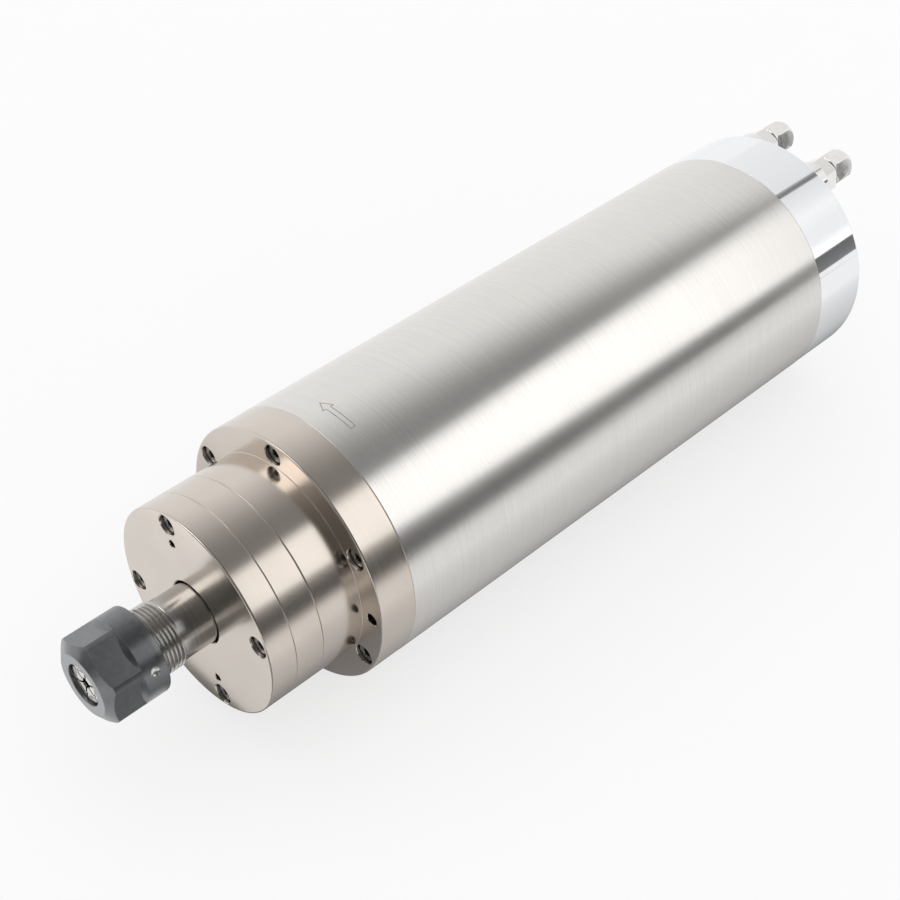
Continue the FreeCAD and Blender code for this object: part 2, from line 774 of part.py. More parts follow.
def rear_cap():
    """The polished rear cover, hollow for the leads, with bosses for the water ports and screws."""
    inner_plate = cap_face - rear_plate
    hollow = end_radius - rear_cap_wall
    body = turned([
        (sleeve_rear, hollow), (sleeve_rear, end_radius), (cap_face - rear_chamfer, end_radius),
        (cap_face, end_radius - rear_chamfer), (cap_face, 0), (inner_plate, 0), (inner_plate, hollow)])
    within = rod(sleeve_rear, cap_face - rear_chamfer, hollow + boss_root)
    bosses = ring_of(rear_screw_count, rear_screw_angle, rear_screw_circle,
                     lambda y, z: rod(sleeve_rear, inner_plate + boss_root, screw_boss_diameter / 2, y, z))
    bosses += [rod(sleeve_rear, inner_plate + boss_root, fitting_boss_diameter / 2,
                   *across(fitting_circle, side * fitting_angle)) for side in (-1, 1)]
    body = body.fuse([boss.common(within) for boss in bosses])
    tools = holes(rear_screw_count, rear_screw_angle, rear_screw_circle,
                  sleeve_rear - past, cap_face + past, screw_hole)
    tools += holes(rear_screw_count, rear_screw_angle, rear_screw_circle,
                   rear_seat_plane, cap_face + past, counterbore_diameter)
    for side in (-1, 1):
        y, z = across(fitting_circle, side * fitting_angle)
        port_y, port_z = across(2 * port_radius, side * fitting_angle)
        tools.append(rod(sleeve_rear - past, cap_face + past, fitting_bore_diameter / 2, y, z))
        tools.append(rod(cap_face - fitting_stub_length - past, cap_face + past,
                         fitting_thread_diameter / 2 + slip_fit, y, z))
        tools.append(rod(sleeve_rear - past, sleeve_rear + port_hole_diameter,
                         port_hole_diameter / 2, port_y, port_z))
        tools.append(rod(sleeve_rear - past, sleeve_rear + port_hole_diameter, port_hole_diameter / 2,
                         (y + port_y) / 2, (z + port_z) / 2))
    tools.append(rod(sleeve_rear, cap_face + past, receptacle_tail_radius + slip_fit, 0, -receptacle_drop))
    tools += receptacle_corners(lambda y, z: rod(
        cap_face - receptacle_screw_grip - drill_past, cap_face + past,
        receptacle_screw_diameter / 2 + screw_clearance / 2, y, z))
    return body.cut(tools)


def receptacle_corners(make):
    """What make(y, z) returns at the four corners of the receptacle's flange."""
    half = receptacle_screw_spacing / 2
    return [make(side * half, -receptacle_drop + up * half) for side in (-1, 1) for up in (-1, 1)]


socket_floor = cap_face + receptacle_length - receptacle_socket_depth


def receptacle_shell():
    """The flanged metal shell that the plug screws on, with its keyway rib."""
    z = -receptacle_drop
    half = receptacle_flange / 2
    plate = Part.makeBox(receptacle_flange_thickness, receptacle_flange, receptacle_flange,
                         FreeCAD.Vector(cap_face, -half, z - half))
    corners = [edge for edge in plate.Edges if abs(edge.Curve.Direction.x) > 0.9]
    plate = plate.makeFillet(receptacle_corner, corners)
    barrel = rod(cap_face, cap_face + receptacle_length, receptacle_diameter / 2, 0, z)
    tail = rod(cap_face - receptacle_tail, cap_face + boss_root, receptacle_tail_radius, 0, z)
    body = plate.fuse([barrel, tail])
    body = body.cut(rod(cap_face - receptacle_tail - past, cap_face + receptacle_length + past,
                        receptacle_bore / 2, 0, z))
    rib_foot = z + receptacle_bore / 2 - key_height
    rib = Part.makeBox(receptacle_length - key_setback, key_width, key_height + key_root,
                       FreeCAD.Vector(cap_face, -key_width / 2, rib_foot))
    body = body.fuse(rib)
    return body.cut(receptacle_corners(lambda y, z: rod(
        cap_face - past, cap_face + receptacle_flange_thickness + past,
        receptacle_screw_diameter / 2 + screw_clearance, y, z)))


def receptacle_insulator():
    """The moulded disc that holds the contact pins."""
    z = -receptacle_drop
    body = rod(cap_face - receptacle_tail, socket_floor, receptacle_bore / 2 - slip_fit, 0, z)
    start = cap_face - receptacle_tail - past
    notch = Part.makeBox(socket_floor + past - start, key_width + 2 * key_gap, key_height + past,
                         FreeCAD.Vector(start, -key_width / 2 - key_gap,
                                        z + receptacle_bore / 2 - key_height - key_gap))
    pins = ring_of(pin_count, pin_angle, pin_circle, lambda y, pz: rod(
        start, socket_floor + past, pin_diameter / 2 + slip_fit, y, z + pz))
    return body.cut([notch] + pins)


def contact_pins():
    """The pins for the three phases and earth, with solder tails inside the cap."""
    z = -receptacle_drop
    back = cap_face - receptacle_tail
    tip = socket_floor + pin_length
    outline = [
        (back - pin_tail, 0), (back - pin_tail, pin_tail_diameter / 2), (back, pin_tail_diameter / 2),
        (back, pin_diameter / 2), (tip - pin_point_length, pin_diameter / 2),
        (tip, pin_point_diameter / 2), (tip, 0)]
    return ring_of(pin_count, pin_angle, pin_circle, lambda y, pz: turned(outline, y, z + pz))


def receptacle_screws():
    """Four small screws in the corners of the receptacle's flange."""
    seat = cap_face + receptacle_flange_thickness
    length = receptacle_flange_thickness + receptacle_screw_grip
    return receptacle_corners(lambda y, z: cap_screw(
        seat, -1, length, receptacle_screw_diameter, receptacle_screw_head,
        receptacle_screw_head_height, receptacle_screw_key, y, z))


collar_end = cap_face + fitting_collar_length
hex_end = collar_end + fitting_hex_length
thread_end = hex_end + fitting_thread_length
union_front = hex_end + union_nut_gap
union_shoulder = union_front + union_nut_hex_length
union_tip = union_shoulder + union_nut_dome_length
ferrule_slope = (ferrule_wall - ferrule_edge) / ferrule_nose
ferrule_front = thread_end - ferrule_nose + running_gap * 2
ferrule_rear = ferrule_front + ferrule_length


def fitting_body(side):
    """A hose fitting's body: stub in the cap, round collar, hexagon, thread and hose socket."""
    y, z = across(fitting_circle, side * fitting_angle)
    thread = fitting_thread_diameter / 2
    socket = hose_diameter / 2
    mouth = socket + ferrule_wall + running_gap * 2
    floor = thread_end - hose_socket_depth
    core = turned([
        (cap_face - fitting_stub_length, fitting_bore_diameter / 2),
        (cap_face - fitting_stub_length, thread), (cap_face, thread),
        (cap_face, fitting_collar_diameter / 2), (collar_end - edge_break, fitting_collar_diameter / 2),
        (collar_end, fitting_collar_diameter / 2 - edge_break), (collar_end, thread),
        (thread_end, thread), (thread_end, mouth),
        (thread_end - (mouth - socket) / ferrule_slope, socket), (floor, socket),
        (floor, fitting_bore_diameter / 2)], y, z)
    hexagon = hex_bar(collar_end - fitting_hex_root, hex_end, fitting_hex, y, z, fitting_hex_angle)
    hexagon = hexagon.cut(rod(collar_end - past, hex_end + past, thread - fitting_hex_root, y, z))
    return core.fuse(hexagon)


def ferrule(side):
    """The olive that the nut squeezes on the hose, a cone at each end."""
    y, z = across(fitting_circle, side * fitting_angle)
    bore = hose_diameter / 2
    return turned([
        (ferrule_front, bore), (ferrule_front, bore + ferrule_edge),
        (ferrule_front + ferrule_nose, bore + ferrule_wall),
        (ferrule_rear - ferrule_back_length, bore + ferrule_wall),
        (ferrule_rear, bore + ferrule_back_edge), (ferrule_rear, bore)], y, z)


def union_nut(side):
    """The nut of a hose fitting: a hexagon that runs out into a dome round the hose."""
    y, z = across(fitting_circle, side * fitting_angle)
    corner = union_nut_flats / math.sqrt(3)
    tip = union_nut_tip_diameter / 2
    bore = fitting_thread_diameter / 2 + running_gap
    mouth = hose_diameter / 2
    cone_end = ferrule_rear + union_nut_play
    dome = []
    for step in range(1, dome_steps):
        turn = math.pi / 2 * step / dome_steps
        dome.append((union_shoulder + union_nut_dome_length * math.sin(turn),
                     tip + (corner - tip) * math.cos(turn)))
    blank = turned([
        (union_front, bore), (union_front, corner - union_nut_chamfer),
        (union_front + union_nut_chamfer, corner), (union_shoulder, corner)] + dome + [
        (union_tip, tip), (union_tip, mouth), (cone_end, mouth),
        (cone_end - union_cone_length, mouth + ferrule_wall + union_nut_play),
        (ferrule_rear - union_bore_end, bore)], y, z)
    hexagon = hex_bar(union_front - past, union_tip + past, union_nut_flats, y, z, union_nut_angle)
    return blank.common(hexagon)


os.makedirs("parts", exist_ok=True)

save("outer_sleeve", outer_sleeve())
save("water_jacket", water_jacket())
save("front_jacket_seal", jacket_seal(sleeve_front + seal_inset))
save("rear_jacket_seal", jacket_seal(sleeve_rear - seal_inset - seal_groove_width))
save("front_housing", front_housing())
save("bearing_clamp_ring", bearing_clamp_ring())
save("nose_cap", nose_cap())
save("nose_screws", screws(nose_screw_count, nose_screw_angle, nose_screw_circle,
                           nose_seat, 1, nose_screw_end - nose_seat))
save("flange_screws", screws(flange_screw_count, flange_screw_angle, flange_screw_circle,
                             flange_seat, 1, flange_screw_end - flange_seat))
save("shaft", shaft())
save("collet", collet())
save("collet_nut", collet_nut())
save("extractor_ring", extractor_ring())

front_pair = (front_bearing_a, front_bearing_b)
rear_pair = (rear_bearing_a, rear_bearing_b)
save("front_outer_rings", [outer_ring(x, front_bearing_width, front_seat) for x in front_pair])
save("front_inner_rings", [inner_ring(x, front_bearing_width, front_journal) for x in front_pair])
save("front_ball_sets", [ball_set(x, front_bearing_width, front_journal, front_seat) for x in front_pair])
save("front_outer_spacer", tube(front_spacer, front_bearing_b, front_seat, front_seat - bearing_land))
save("front_inner_spacer", tube(front_spacer, front_bearing_b, front_journal + bearing_land,
                                front_journal + journal_fit))
save("front_clamp_sleeve", tube(front_shoulder, front_sleeve_end, front_journal + bearing_land,
                                front_journal + journal_fit))
save("front_lock_nut", lock_nut(front_sleeve_end, front_journal))
save("rear_outer_rings", [outer_ring(x, rear_bearing_width, rear_seat) for x in rear_pair])
save("rear_inner_rings", [inner_ring(x, rear_bearing_width, rear_journal) for x in rear_pair])
save("rear_ball_sets", [ball_set(x, rear_bearing_width, rear_journal, rear_seat) for x in rear_pair])
save("preload_spring", tube(rear_shoulder, rear_bearing_a, rear_seat - spring_play,
                            rear_seat - bearing_land + spring_play))
save("rear_lock_nut", lock_nut(rear_bearing_b + rear_bearing_width, rear_journal))
save("rear_bearing_housing", rear_bearing_housing())
save("rear_housing_screws", hub_screws())
save("stator_core", stator_core())
save("stator_winding", stator_winding())
save("rotor_core", rotor_core())
save("rotor_end_rings", rotor_end_rings())
save("rear_cap", rear_cap())
save("rear_cap_screws", screws(rear_screw_count, rear_screw_angle, rear_screw_circle,
                               rear_seat_plane, -1, rear_seat_plane - rear_screw_end))
save("receptacle_shell", receptacle_shell())
save("receptacle_insulator", receptacle_insulator())
save("contact_pins", contact_pins())
save("receptacle_screws", receptacle_screws())
for name, side in (("left", -1), ("right", 1)):
    save(name + "_fitting_body", fitting_body(side))
    save(name + "_ferrule", ferrule(side))
    save(name + "_union_nut", union_nut(side))
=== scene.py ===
from math import cos, pi, radians, sin, sqrt, tan

import bmesh
import bpy
import numpy as np
from mathutils import Euler, Matrix, Vector
from mathutils.geometry import delaunay_2d_cdt


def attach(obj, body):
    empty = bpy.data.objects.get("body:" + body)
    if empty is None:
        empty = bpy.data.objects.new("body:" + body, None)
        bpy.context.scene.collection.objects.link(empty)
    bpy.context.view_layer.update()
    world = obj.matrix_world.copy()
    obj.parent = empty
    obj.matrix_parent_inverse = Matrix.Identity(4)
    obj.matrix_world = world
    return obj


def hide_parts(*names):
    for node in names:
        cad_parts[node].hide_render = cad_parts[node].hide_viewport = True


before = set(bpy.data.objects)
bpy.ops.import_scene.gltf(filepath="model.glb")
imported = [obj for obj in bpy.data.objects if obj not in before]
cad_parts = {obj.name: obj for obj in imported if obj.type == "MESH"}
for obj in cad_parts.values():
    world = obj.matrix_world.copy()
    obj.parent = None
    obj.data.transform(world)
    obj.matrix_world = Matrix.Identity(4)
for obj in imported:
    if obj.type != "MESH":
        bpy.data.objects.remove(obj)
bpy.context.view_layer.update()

# Sleeve.
# A stainless tube, ground round between centres for the clamp and pressed over the water jacket.
# The grinding leaves fine lines round it. An arrow for the way of turning is etched near the front.
mm = 0.001
sleeve_front = -115.25
sleeve_rear = 115.25
sleeve_radius = 49.992
sleeve_bore = 47.0
edge_break = 0.35


def ring_angles(count, start=0.0):
    """Evenly spaced angles round the axis, from +Z towards +Y, the first one again at the end."""
    return radians(start) + np.linspace(0, 2 * pi, count + 1)


def lattice(points):
    """Points in rows and columns as one list, and the quads between neighbours; the point of
    row i and column j has the number i * columns + j."""
    rows, columns = points.shape[:2]
    near = np.arange(rows - 1)[:, None] * columns + np.arange(columns - 1)[None, :]
    far = near + columns
    return points.reshape(-1, 3), np.stack([near, near + 1, far + 1, far], axis=-1).reshape(-1, 4)


def skin(rings, angles, centre=(0.0, 0.0)):
    """Rings round an axis along X, joined: a point is (x, y0 + r sin a, z0 + r cos a), in mm.
    x and r of a ring are one number, or one for each angle."""
    x, r = (np.array([np.broadcast_to(np.asarray(ring[k], float), angles.shape) for ring in rings])
            for k in (0, 1))
    return lattice(np.stack([x, centre[0] + r * np.sin(angles), centre[1] + r * np.cos(angles)], axis=-1))


def eased(corners, steps=4):
    """Rings along a profile of corners (x, r, size): each corner becomes the curve
    (1-t)^2 A + 2t(1-t) C + t^2 B, from `size` before the corner C to `size` after it."""
    rings = []
    for index, (x, r, *size) in enumerate(corners):
        if not size or index in (0, len(corners) - 1):
            rings.append((x, r))
            continue
        here = np.array([x, r])
        ends = [np.array(corners[index + side][:2]) - here for side in (-1, 1)]
        before, after = [here + size[0] * end / np.linalg.norm(end) for end in ends]
        t = np.linspace(0, 1, steps + 1)[:, None]
        curve = (1 - t) ** 2 * before + 2 * t * (1 - t) * here + t ** 2 * after
        rings += [tuple(point) for point in curve]
    return rings


def solid(name, skins, body, material, replaced=(), sharp=30.0, merge=2e-6):
    """One closed mesh of skins (points in mm, faces): equal points merged, faces turned outwards,
    edges sharper than the given angle kept sharp."""
    starts = np.cumsum([0] + [len(points) for points, _ in skins])
    faces = []
    for start, (_, some) in zip(starts, skins):
        faces += [(np.asarray(face) + start).tolist() for face in some]
    mesh = bpy.data.meshes.new(name)
    mesh.from_pydata(np.concatenate([points for points, _ in skins]) * mm, [], faces)
    shape = bmesh.new()
    shape.from_mesh(mesh)
    bmesh.ops.remove_doubles(shape, verts=shape.verts, dist=merge)
    bmesh.ops.dissolve_degenerate(shape, dist=merge / 4, edges=shape.edges)
    bmesh.ops.recalc_face_normals(shape, faces=shape.faces)
    shape.to_mesh(mesh)
    shape.free()
    mesh.shade_smooth()
    mesh.set_sharp_from_angle(angle=radians(sharp))
    piece = bpy.data.objects.new(name, mesh)
    bpy.context.scene.collection.objects.link(piece)
    weighted = piece.modifiers.new("face weighted normals", "WEIGHTED_NORMAL")
    weighted.keep_sharp = True
    mesh.materials.append(material)
    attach(piece, body)
    if replaced:
        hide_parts(*replaced)
    return piece


def finish(name, colour, metallic, roughness):
    """A material with its shader's own numbers set; with it come its tree, its shader and the
    object coordinates."""
    material = bpy.data.materials.new(name)
    material.use_nodes = True
    tree = material.node_tree
    shader = tree.nodes["Principled BSDF"]
    shader.inputs["Base Color"].default_value = (*colour, 1)
    shader.inputs["Metallic"].default_value = metallic
    shader.inputs["Roughness"].default_value = roughness
    place = tree.nodes.new("ShaderNodeTexCoord").outputs["Object"]
    return material, tree, shader, place


def noise(tree, place, scale, detail=2.0, location=(0, 0, 0)):
    """Noise of the place times a scale for each axis."""
    mapping = tree.nodes.new("ShaderNodeMapping")
    mapping.inputs["Scale"].default_value = scale
    mapping.inputs["Location"].default_value = location
    tree.links.new(place, mapping.inputs["Vector"])
    texture = tree.nodes.new("ShaderNodeTexNoise")
    texture.inputs["Scale"].default_value = 1.0
    texture.inputs["Detail"].default_value = detail
    tree.links.new(mapping.outputs["Vector"], texture.inputs["Vector"])
    return texture.outputs["Fac"]


def spread(tree, value, low, high, centre=0.5, width=0.25):
    """A value of 0 to 1 carried to low ... high, in a straight line about its centre."""
    node = tree.nodes.new("ShaderNodeMapRange")
    node.inputs["From Min"].default_value = centre - width
    node.inputs["From Max"].default_value = centre + width
    node.inputs["To Min"].default_value = low
    node.inputs["To Max"].default_value = high
    tree.links.new(value, node.inputs["Value"])
    return node.outputs["Result"]


def tinted(tree, shader, value, dark, light):
    """The base colour goes from dark to light with the value."""
    part = spread(tree, value, 0, 1)
    mix = tree.nodes.new("ShaderNodeMix")
    mix.data_type = "RGBA"
    mix.inputs["A"].default_value = (*dark, 1)
    mix.inputs["B"].default_value = (*light, 1)
    tree.links.new(part, mix.inputs["Factor"])
    tree.links.new(mix.outputs["Result"], shader.inputs["Base Color"])


def roughened(tree, shader, value, low, high):
    """The roughness goes from low to high with the value."""
    tree.links.new(spread(tree, value, low, high), shader.inputs["Roughness"])


def bumped(tree, shader, value, depth):
    """The value as relief, with its depth in metres."""
    node = tree.nodes.new("ShaderNodeBump")
    node.inputs["Strength"].default_value = 1.0
    node.inputs["Distance"].default_value = depth
    tree.links.new(value, node.inputs["Height"])
    tree.links.new(node.outputs["Normal"], shader.inputs["Normal"])


ground, tree, shader, place = finish("ground_sleeve", (0.72, 0.70, 0.67), 1.0, 0.22)
lines = noise(tree, place, (2600, 25, 25), 3.0)
clouds = noise(tree, place, (30, 30, 30), 2.0, (3, 1, 2))
tinted(tree, shader, lines, (0.69, 0.672, 0.645), (0.75, 0.73, 0.70))
roughened(tree, shader, clouds, 0.20, 0.24)
bumped(tree, shader, lines, 2e-7)

body_angles = ring_angles(288)
sleeve = [
    (sleeve_front, sleeve_bore), (sleeve_front, sleeve_radius, edge_break),
    (sleeve_rear, sleeve_radius, edge_break), (sleeve_rear, sleeve_bore), (sleeve_front, sleeve_bore)]
solid("outer_sleeve_skin", [skin(eased(sleeve), body_angles)],
      "housing", ground, ["outer_sleeve"])

arrow_x = -104.95
arrow_line = 0.3
arrow_low = 49.97
arrow_high = 50.0
arrow_pieces = 8
arrow_outline = np.array([
    (-1.0, -8.3), (-1.0, 4.3), (-2.25, 4.3), (0.0, 8.7), (2.25, 4.3), (1.0, 4.3), (1.0, -8.3)])


def band_round(outline, width, low, high, radius):
    """A closed line of (x, arc) points as a flat band: corners are mitred by half the width to both
    sides, and the band is bent round the sleeve, point = (x, r sin(arc/R), r cos(arc/R))."""
    step = np.roll(outline, -1, axis=0) - outline
    step /= np.linalg.norm(step, axis=1)[:, None]
    side = np.stack([-step[:, 1], step[:, 0]], axis=1)
    mitre = side + np.roll(side, 1, axis=0)
    mitre *= width / np.sum(mitre ** 2, axis=1)[:, None]
    part = np.linspace(0, 1, arrow_pieces + 1)[:-1, None]
    edges = []
    for edge in (outline - mitre, outline + mitre):
        after = np.roll(edge, -1, axis=0)
        edges.append((edge[:, None] * (1 - part) + after[:, None] * part).reshape(-1, 2))
    inner, outer = edges
    loops = []
    for edge, r in ((inner, low), (outer, low), (outer, high), (inner, high), (inner, low)):
        turn = edge[:, 1] / radius
        loops.append(np.stack([edge[:, 0], r * np.sin(turn), r * np.cos(turn)], axis=1))
    points = np.array(loops)
    return lattice(np.concatenate([points, points[:, :1]], axis=1))


etched, tree, shader, place = finish("etched_line", (0.30, 0.27, 0.24), 0.6, 0.55)
burnt = noise(tree, place, (1500, 1500, 1500), 2.0)
tinted(tree, shader, burnt, (0.24, 0.21, 0.19), (0.38, 0.35, 0.31))
solid("rotation_arrow",
      [band_round(arrow_outline + (arrow_x, 0), arrow_line, arrow_low, arrow_high, arrow_high)],
      "housing", etched, merge=1e-7)

# Front housing, bearing clamp ring and nose cap.
# Steel, each turned in one chucking and nickel plated, so they have a warm satin finish.
# The housing bolts to the jacket through its flange, the ring and the cap through the nose.
flange_face = -130.45
boss_front = -147.65
ring_front = -159.15
nose_face = -169.75
end_radius = 49.9
boss_radius = 40.0
seam_break = 0.15
head_sink = 1.3
screw_head = 4.0
counterbore = 3.85
screw_hole = 2.15
flange_rim = 0.3
nose_rim = 0.35
tap_rim = 0.25
drill_point = 0.55
nose_screws = (4, 17.7, 35.2)
flange_screws = (6, 4.5, 44.6)
flange_taps = (2, -86.9, 44.6)
tap_radius = 2.3
tap_depth = 10.0
hole_angles = ring_angles(48)


def turned_edge(corners):
    """As eased, without the first and the last point: they only say which way the edge goes on."""
    return eased(corners)[1:-1]


def circle_places(count, start, radius):
    """(y, z) of points evenly round a circle about the axis, the first at the start angle."""
    turn = radians(start) + np.arange(count) * 2 * pi / count
    return np.stack([radius * np.sin(turn), radius * np.cos(turn)], axis=1)


def pierced(x, outer, inner):
    """A flat wall across the axis at x, from the ring of (radius, angles, centre) called outer,
    with such rings as holes: Delaunay triangles of all the rings' points, less those in a hole."""
    loops = [np.stack([centre[0] + radius * np.sin(angles[:-1]), centre[1] + radius * np.cos(angles[:-1])],
                      axis=1) for radius, angles, centre in [outer] + inner]
    starts = np.cumsum([0] + [len(loop) for loop in loops])
    edges = []
    for start, loop in zip(starts, loops):
        here = np.arange(len(loop))
        edges += (np.stack([here, np.roll(here, -1)], axis=1) + start).tolist()
    spots = [Vector(point) for point in np.concatenate(loops).tolist()]
    found = delaunay_2d_cdt(spots, edges, [], 0, 1e-7)
    flat = np.array([tuple(point) for point in found[0]])
    faces = np.array(found[2])
    middle = flat[faces].mean(axis=1)
    keep = np.ones(len(faces), bool)
    for radius, angles, centre in inner:
        flat_radius = radius * cos(pi / (len(angles) - 1))
        keep &= np.linalg.norm(middle - np.array(centre), axis=1) > flat_radius
    return np.column_stack([np.full(len(flat), x), flat]), faces[keep]


def body_ring(radius):
    """A ring about the spindle's own axis, as an edge of a wall."""
    return radius, body_angles, (0, 0)


def rims(places, radius):
    """The rings that holes leave in a wall."""
    return [(radius, hole_angles, centre) for centre in places]


def hole_walls(places, rings):
    """The walls of equal holes: rings of (x, r) about each place."""
    return [skin(rings, hole_angles, centre) for centre in places]


def counterbored(face, seat, rear, rim):
    """Rings of a screw's hole, from a small bright rim at the face to the shank's hole at the rear."""
    inward = rim if rear > face else -rim
    return [(face, counterbore + rim), (face + inward, counterbore),
            (seat, counterbore), (seat, screw_hole), (rear, screw_hole)]


def drilled(face, depth, radius):
    """Rings of a drilled hole with a chamfered rim and a cone at the bottom."""
    return [(face, radius + tap_rim), (face + tap_rim, radius), (face + depth, radius),
            (face + depth + radius * drill_point, 0.0)]


def round_axis(tree, place):
    """(x, distance from the axis, 0) of a place: noise of it runs in rings, as a lathe's lines do."""
    split = tree.nodes.new("ShaderNodeSeparateXYZ")
    tree.links.new(place, split.inputs["Vector"])
    across = tree.nodes.new("ShaderNodeCombineXYZ")
    tree.links.new(split.outputs["Y"], across.inputs["X"])
    tree.links.new(split.outputs["Z"], across.inputs["Y"])
    length = tree.nodes.new("ShaderNodeVectorMath")
    length.operation = "LENGTH"
    tree.links.new(across.outputs["Vector"], length.inputs[0])
    joined = tree.nodes.new("ShaderNodeCombineXYZ")
    tree.links.new(split.outputs["X"], joined.inputs["X"])
    tree.links.new(length.outputs["Value"], joined.inputs["Y"])
    return joined.outputs["Vector"]


champagne, tree, shader, place = finish("nose_steel", (0.64, 0.58, 0.52), 1.0, 0.2)
lathe = noise(tree, round_axis(tree, place), (2200, 2200, 1), 3.0)
clouds = noise(tree, place, (60, 60, 60), 3.0)
tinted(tree, shader, clouds, (0.62, 0.56, 0.50), (0.66, 0.60, 0.54))
roughened(tree, shader, lathe, 0.17, 0.22)
bumped(tree, shader, lathe, 1.5e-7)

flange_places = circle_places(*flange_screws)
tap_places = circle_places(*flange_taps)
nose_places = circle_places(*nose_screws)
flange_seat = flange_face + screw_head + head_sink
nose_screw_bottom = -138.15
nose_screw_point = 1.0
housing_bore = 27.53
housing_land = 24.1
spigot_radius = 36.47
spigot_end = -105.25
front_shoulder = -115.65
boss_break = 0.45
boss_root = 0.25
flange_edge = 0.7
rim_profile = turned_edge([
    (flange_face, boss_radius), (flange_face, end_radius, flange_edge),
    (sleeve_front, end_radius, seam_break), (sleeve_front, spigot_radius)])
boss_profile = turned_edge([
    (boss_front, housing_bore), (boss_front, boss_radius, boss_break),
    (flange_face, boss_radius, boss_root), (flange_face, end_radius)])
inner_profile = [
    (sleeve_front, spigot_radius), (spigot_end, spigot_radius), (spigot_end, housing_land),
    (front_shoulder, housing_land), (front_shoulder, housing_bore), (boss_front, housing_bore)]
parts = [
    skin(boss_profile, body_angles), skin(rim_profile, body_angles), skin(inner_profile, body_angles),
    pierced(flange_face, body_ring(rim_profile[0][1]),
            [body_ring(boss_profile[-1][1])] + rims(flange_places, counterbore + flange_rim)
            + rims(tap_places, tap_radius + tap_rim)),
    pierced(sleeve_front, body_ring(rim_profile[-1][1]),
            [body_ring(spigot_radius)] + rims(flange_places, screw_hole)),
    pierced(boss_front, body_ring(boss_profile[0][1]),
            [body_ring(housing_bore)] + rims(nose_places, screw_hole)),
    *hole_walls(flange_places, counterbored(flange_face, flange_seat, sleeve_front, flange_rim)),
    *hole_walls(tap_places, drilled(flange_face, tap_depth, tap_radius)),
    *hole_walls(nose_places, [(boss_front, screw_hole), (nose_screw_bottom, screw_hole),
                              (nose_screw_bottom + nose_screw_point, 0)])]
solid("front_housing_turned", parts, "housing", champagne, ["front_housing"])

front_bearing = -145.65
collar_bore = 19.0
clamp_spigot = 27.47
clamp_edge = turned_edge([
    (ring_front, collar_bore), (ring_front, boss_radius, edge_break),
    (boss_front, boss_radius, edge_break), (boss_front, collar_bore)])
clamp_inner = [
    (boss_front, clamp_spigot), (front_bearing, clamp_spigot), (front_bearing, housing_land),
    (boss_front, housing_land), (boss_front, collar_bore), (ring_front, collar_bore)]
parts = [
    skin(clamp_edge, body_angles), skin(clamp_inner, body_angles),
    pierced(ring_front, body_ring(clamp_edge[0][1]),
            [body_ring(collar_bore)] + rims(nose_places, screw_hole)),
    pierced(boss_front, body_ring(clamp_edge[-1][1]),
            [body_ring(clamp_spigot)] + rims(nose_places, screw_hole)),
    *hole_walls(nose_places, [(ring_front, screw_hole), (boss_front, screw_hole)])]
solid("bearing_clamp_ring_turned", parts, "housing", champagne, ["bearing_clamp_ring"])

nose_bore = 12.15
nose_chamfer = 0.8
bore_rim = 0.4
lip_inner = 15.0
lip_outer = 16.6
lip_end = ring_front + 2.0
nose_seat = nose_face + screw_head + head_sink
nose_taps = circle_places(2, 18.7, 27.7)
nose_tap_radius = 1.5
nose_tap_depth = 6.0
cap_edge = turned_edge([
    (nose_face, nose_bore), (nose_face, boss_radius, nose_chamfer),
    (ring_front, boss_radius, edge_break), (ring_front, nose_bore)])
lip_profile = [
    (ring_front, lip_outer), (lip_end, lip_outer), (lip_end, lip_inner), (ring_front, lip_inner),
    (ring_front, nose_bore), (nose_face + bore_rim, nose_bore), (nose_face, nose_bore + bore_rim)]
parts = [
    skin(cap_edge, body_angles), skin(lip_profile, body_angles),
    pierced(nose_face, body_ring(cap_edge[0][1]),
            [body_ring(nose_bore + bore_rim)] + rims(nose_places, counterbore + nose_rim)
            + rims(nose_taps, nose_tap_radius + tap_rim)),
    pierced(ring_front, body_ring(cap_edge[-1][1]),
            [body_ring(lip_outer)] + rims(nose_places, screw_hole)),
    *hole_walls(nose_places, counterbored(nose_face, nose_seat, ring_front, nose_rim)),
    *hole_walls(nose_taps, drilled(nose_face, nose_tap_depth, nose_tap_radius))]
solid("nose_cap_turned", parts, "housing", champagne, ["nose_cap"])

# Socket head screws of the nose, the flange and the rear cap.
# Black alloy steel M4, cold headed, with a broached hexagon and a rounded rim.
screw_body = 2.0
screw_rim = 3.5
screw_ease = 0.315
screw_foot = 0.1
screw_lead = 0.4
key_flats = 3.0
key_depth = 2.2
key_point = 0.48
key_lead = 0.12
key_slope = 0.8


def hexagon(angles, flats, corner):
    """Radius of a hexagon with a corner at the given angle: half the flats over the cosine
    of the angle to the middle of the nearest flat."""
    return flats / 2 / np.cos((angles - radians(corner)) % (pi / 3) - pi / 6)


def socket_screw(centre, seat, way, length, turn):
    """A socket head screw: rings of (x, r) along it, from the bottom of the key hole round the
    head to the end of the thread. way is +1 where it points along +X."""
    angles = ring_angles(48, turn)
    key = hexagon(angles, key_flats, turn)
    top = -screw_head
    lead = key_flats / 2 / cos(pi / 6) + key_lead
    rings = [(top + key_depth + key_point, 0.0), (top + key_depth, key),
             (top + (lead - key) * key_slope, key), (top, lead)]
    rings += turned_edge([(top, lead), (top, screw_rim, screw_ease), (0.0, screw_rim, screw_foot),
                          (0.0, screw_body)])
    rings += [(0.0, screw_body), (length - screw_lead, screw_body),
              (length, screw_body - screw_lead), (length, 0.0)]
    return skin([(seat + way * x, r) for x, r in rings], angles, centre)


blackened, tree, shader, place = finish("screw_steel", (0.25, 0.245, 0.24), 1.0, 0.36)
worn = noise(tree, place, (900, 900, 900), 3.0)
tinted(tree, shader, worn, (0.21, 0.206, 0.20), (0.29, 0.285, 0.28))
roughened(tree, shader, worn, 0.30, 0.42)

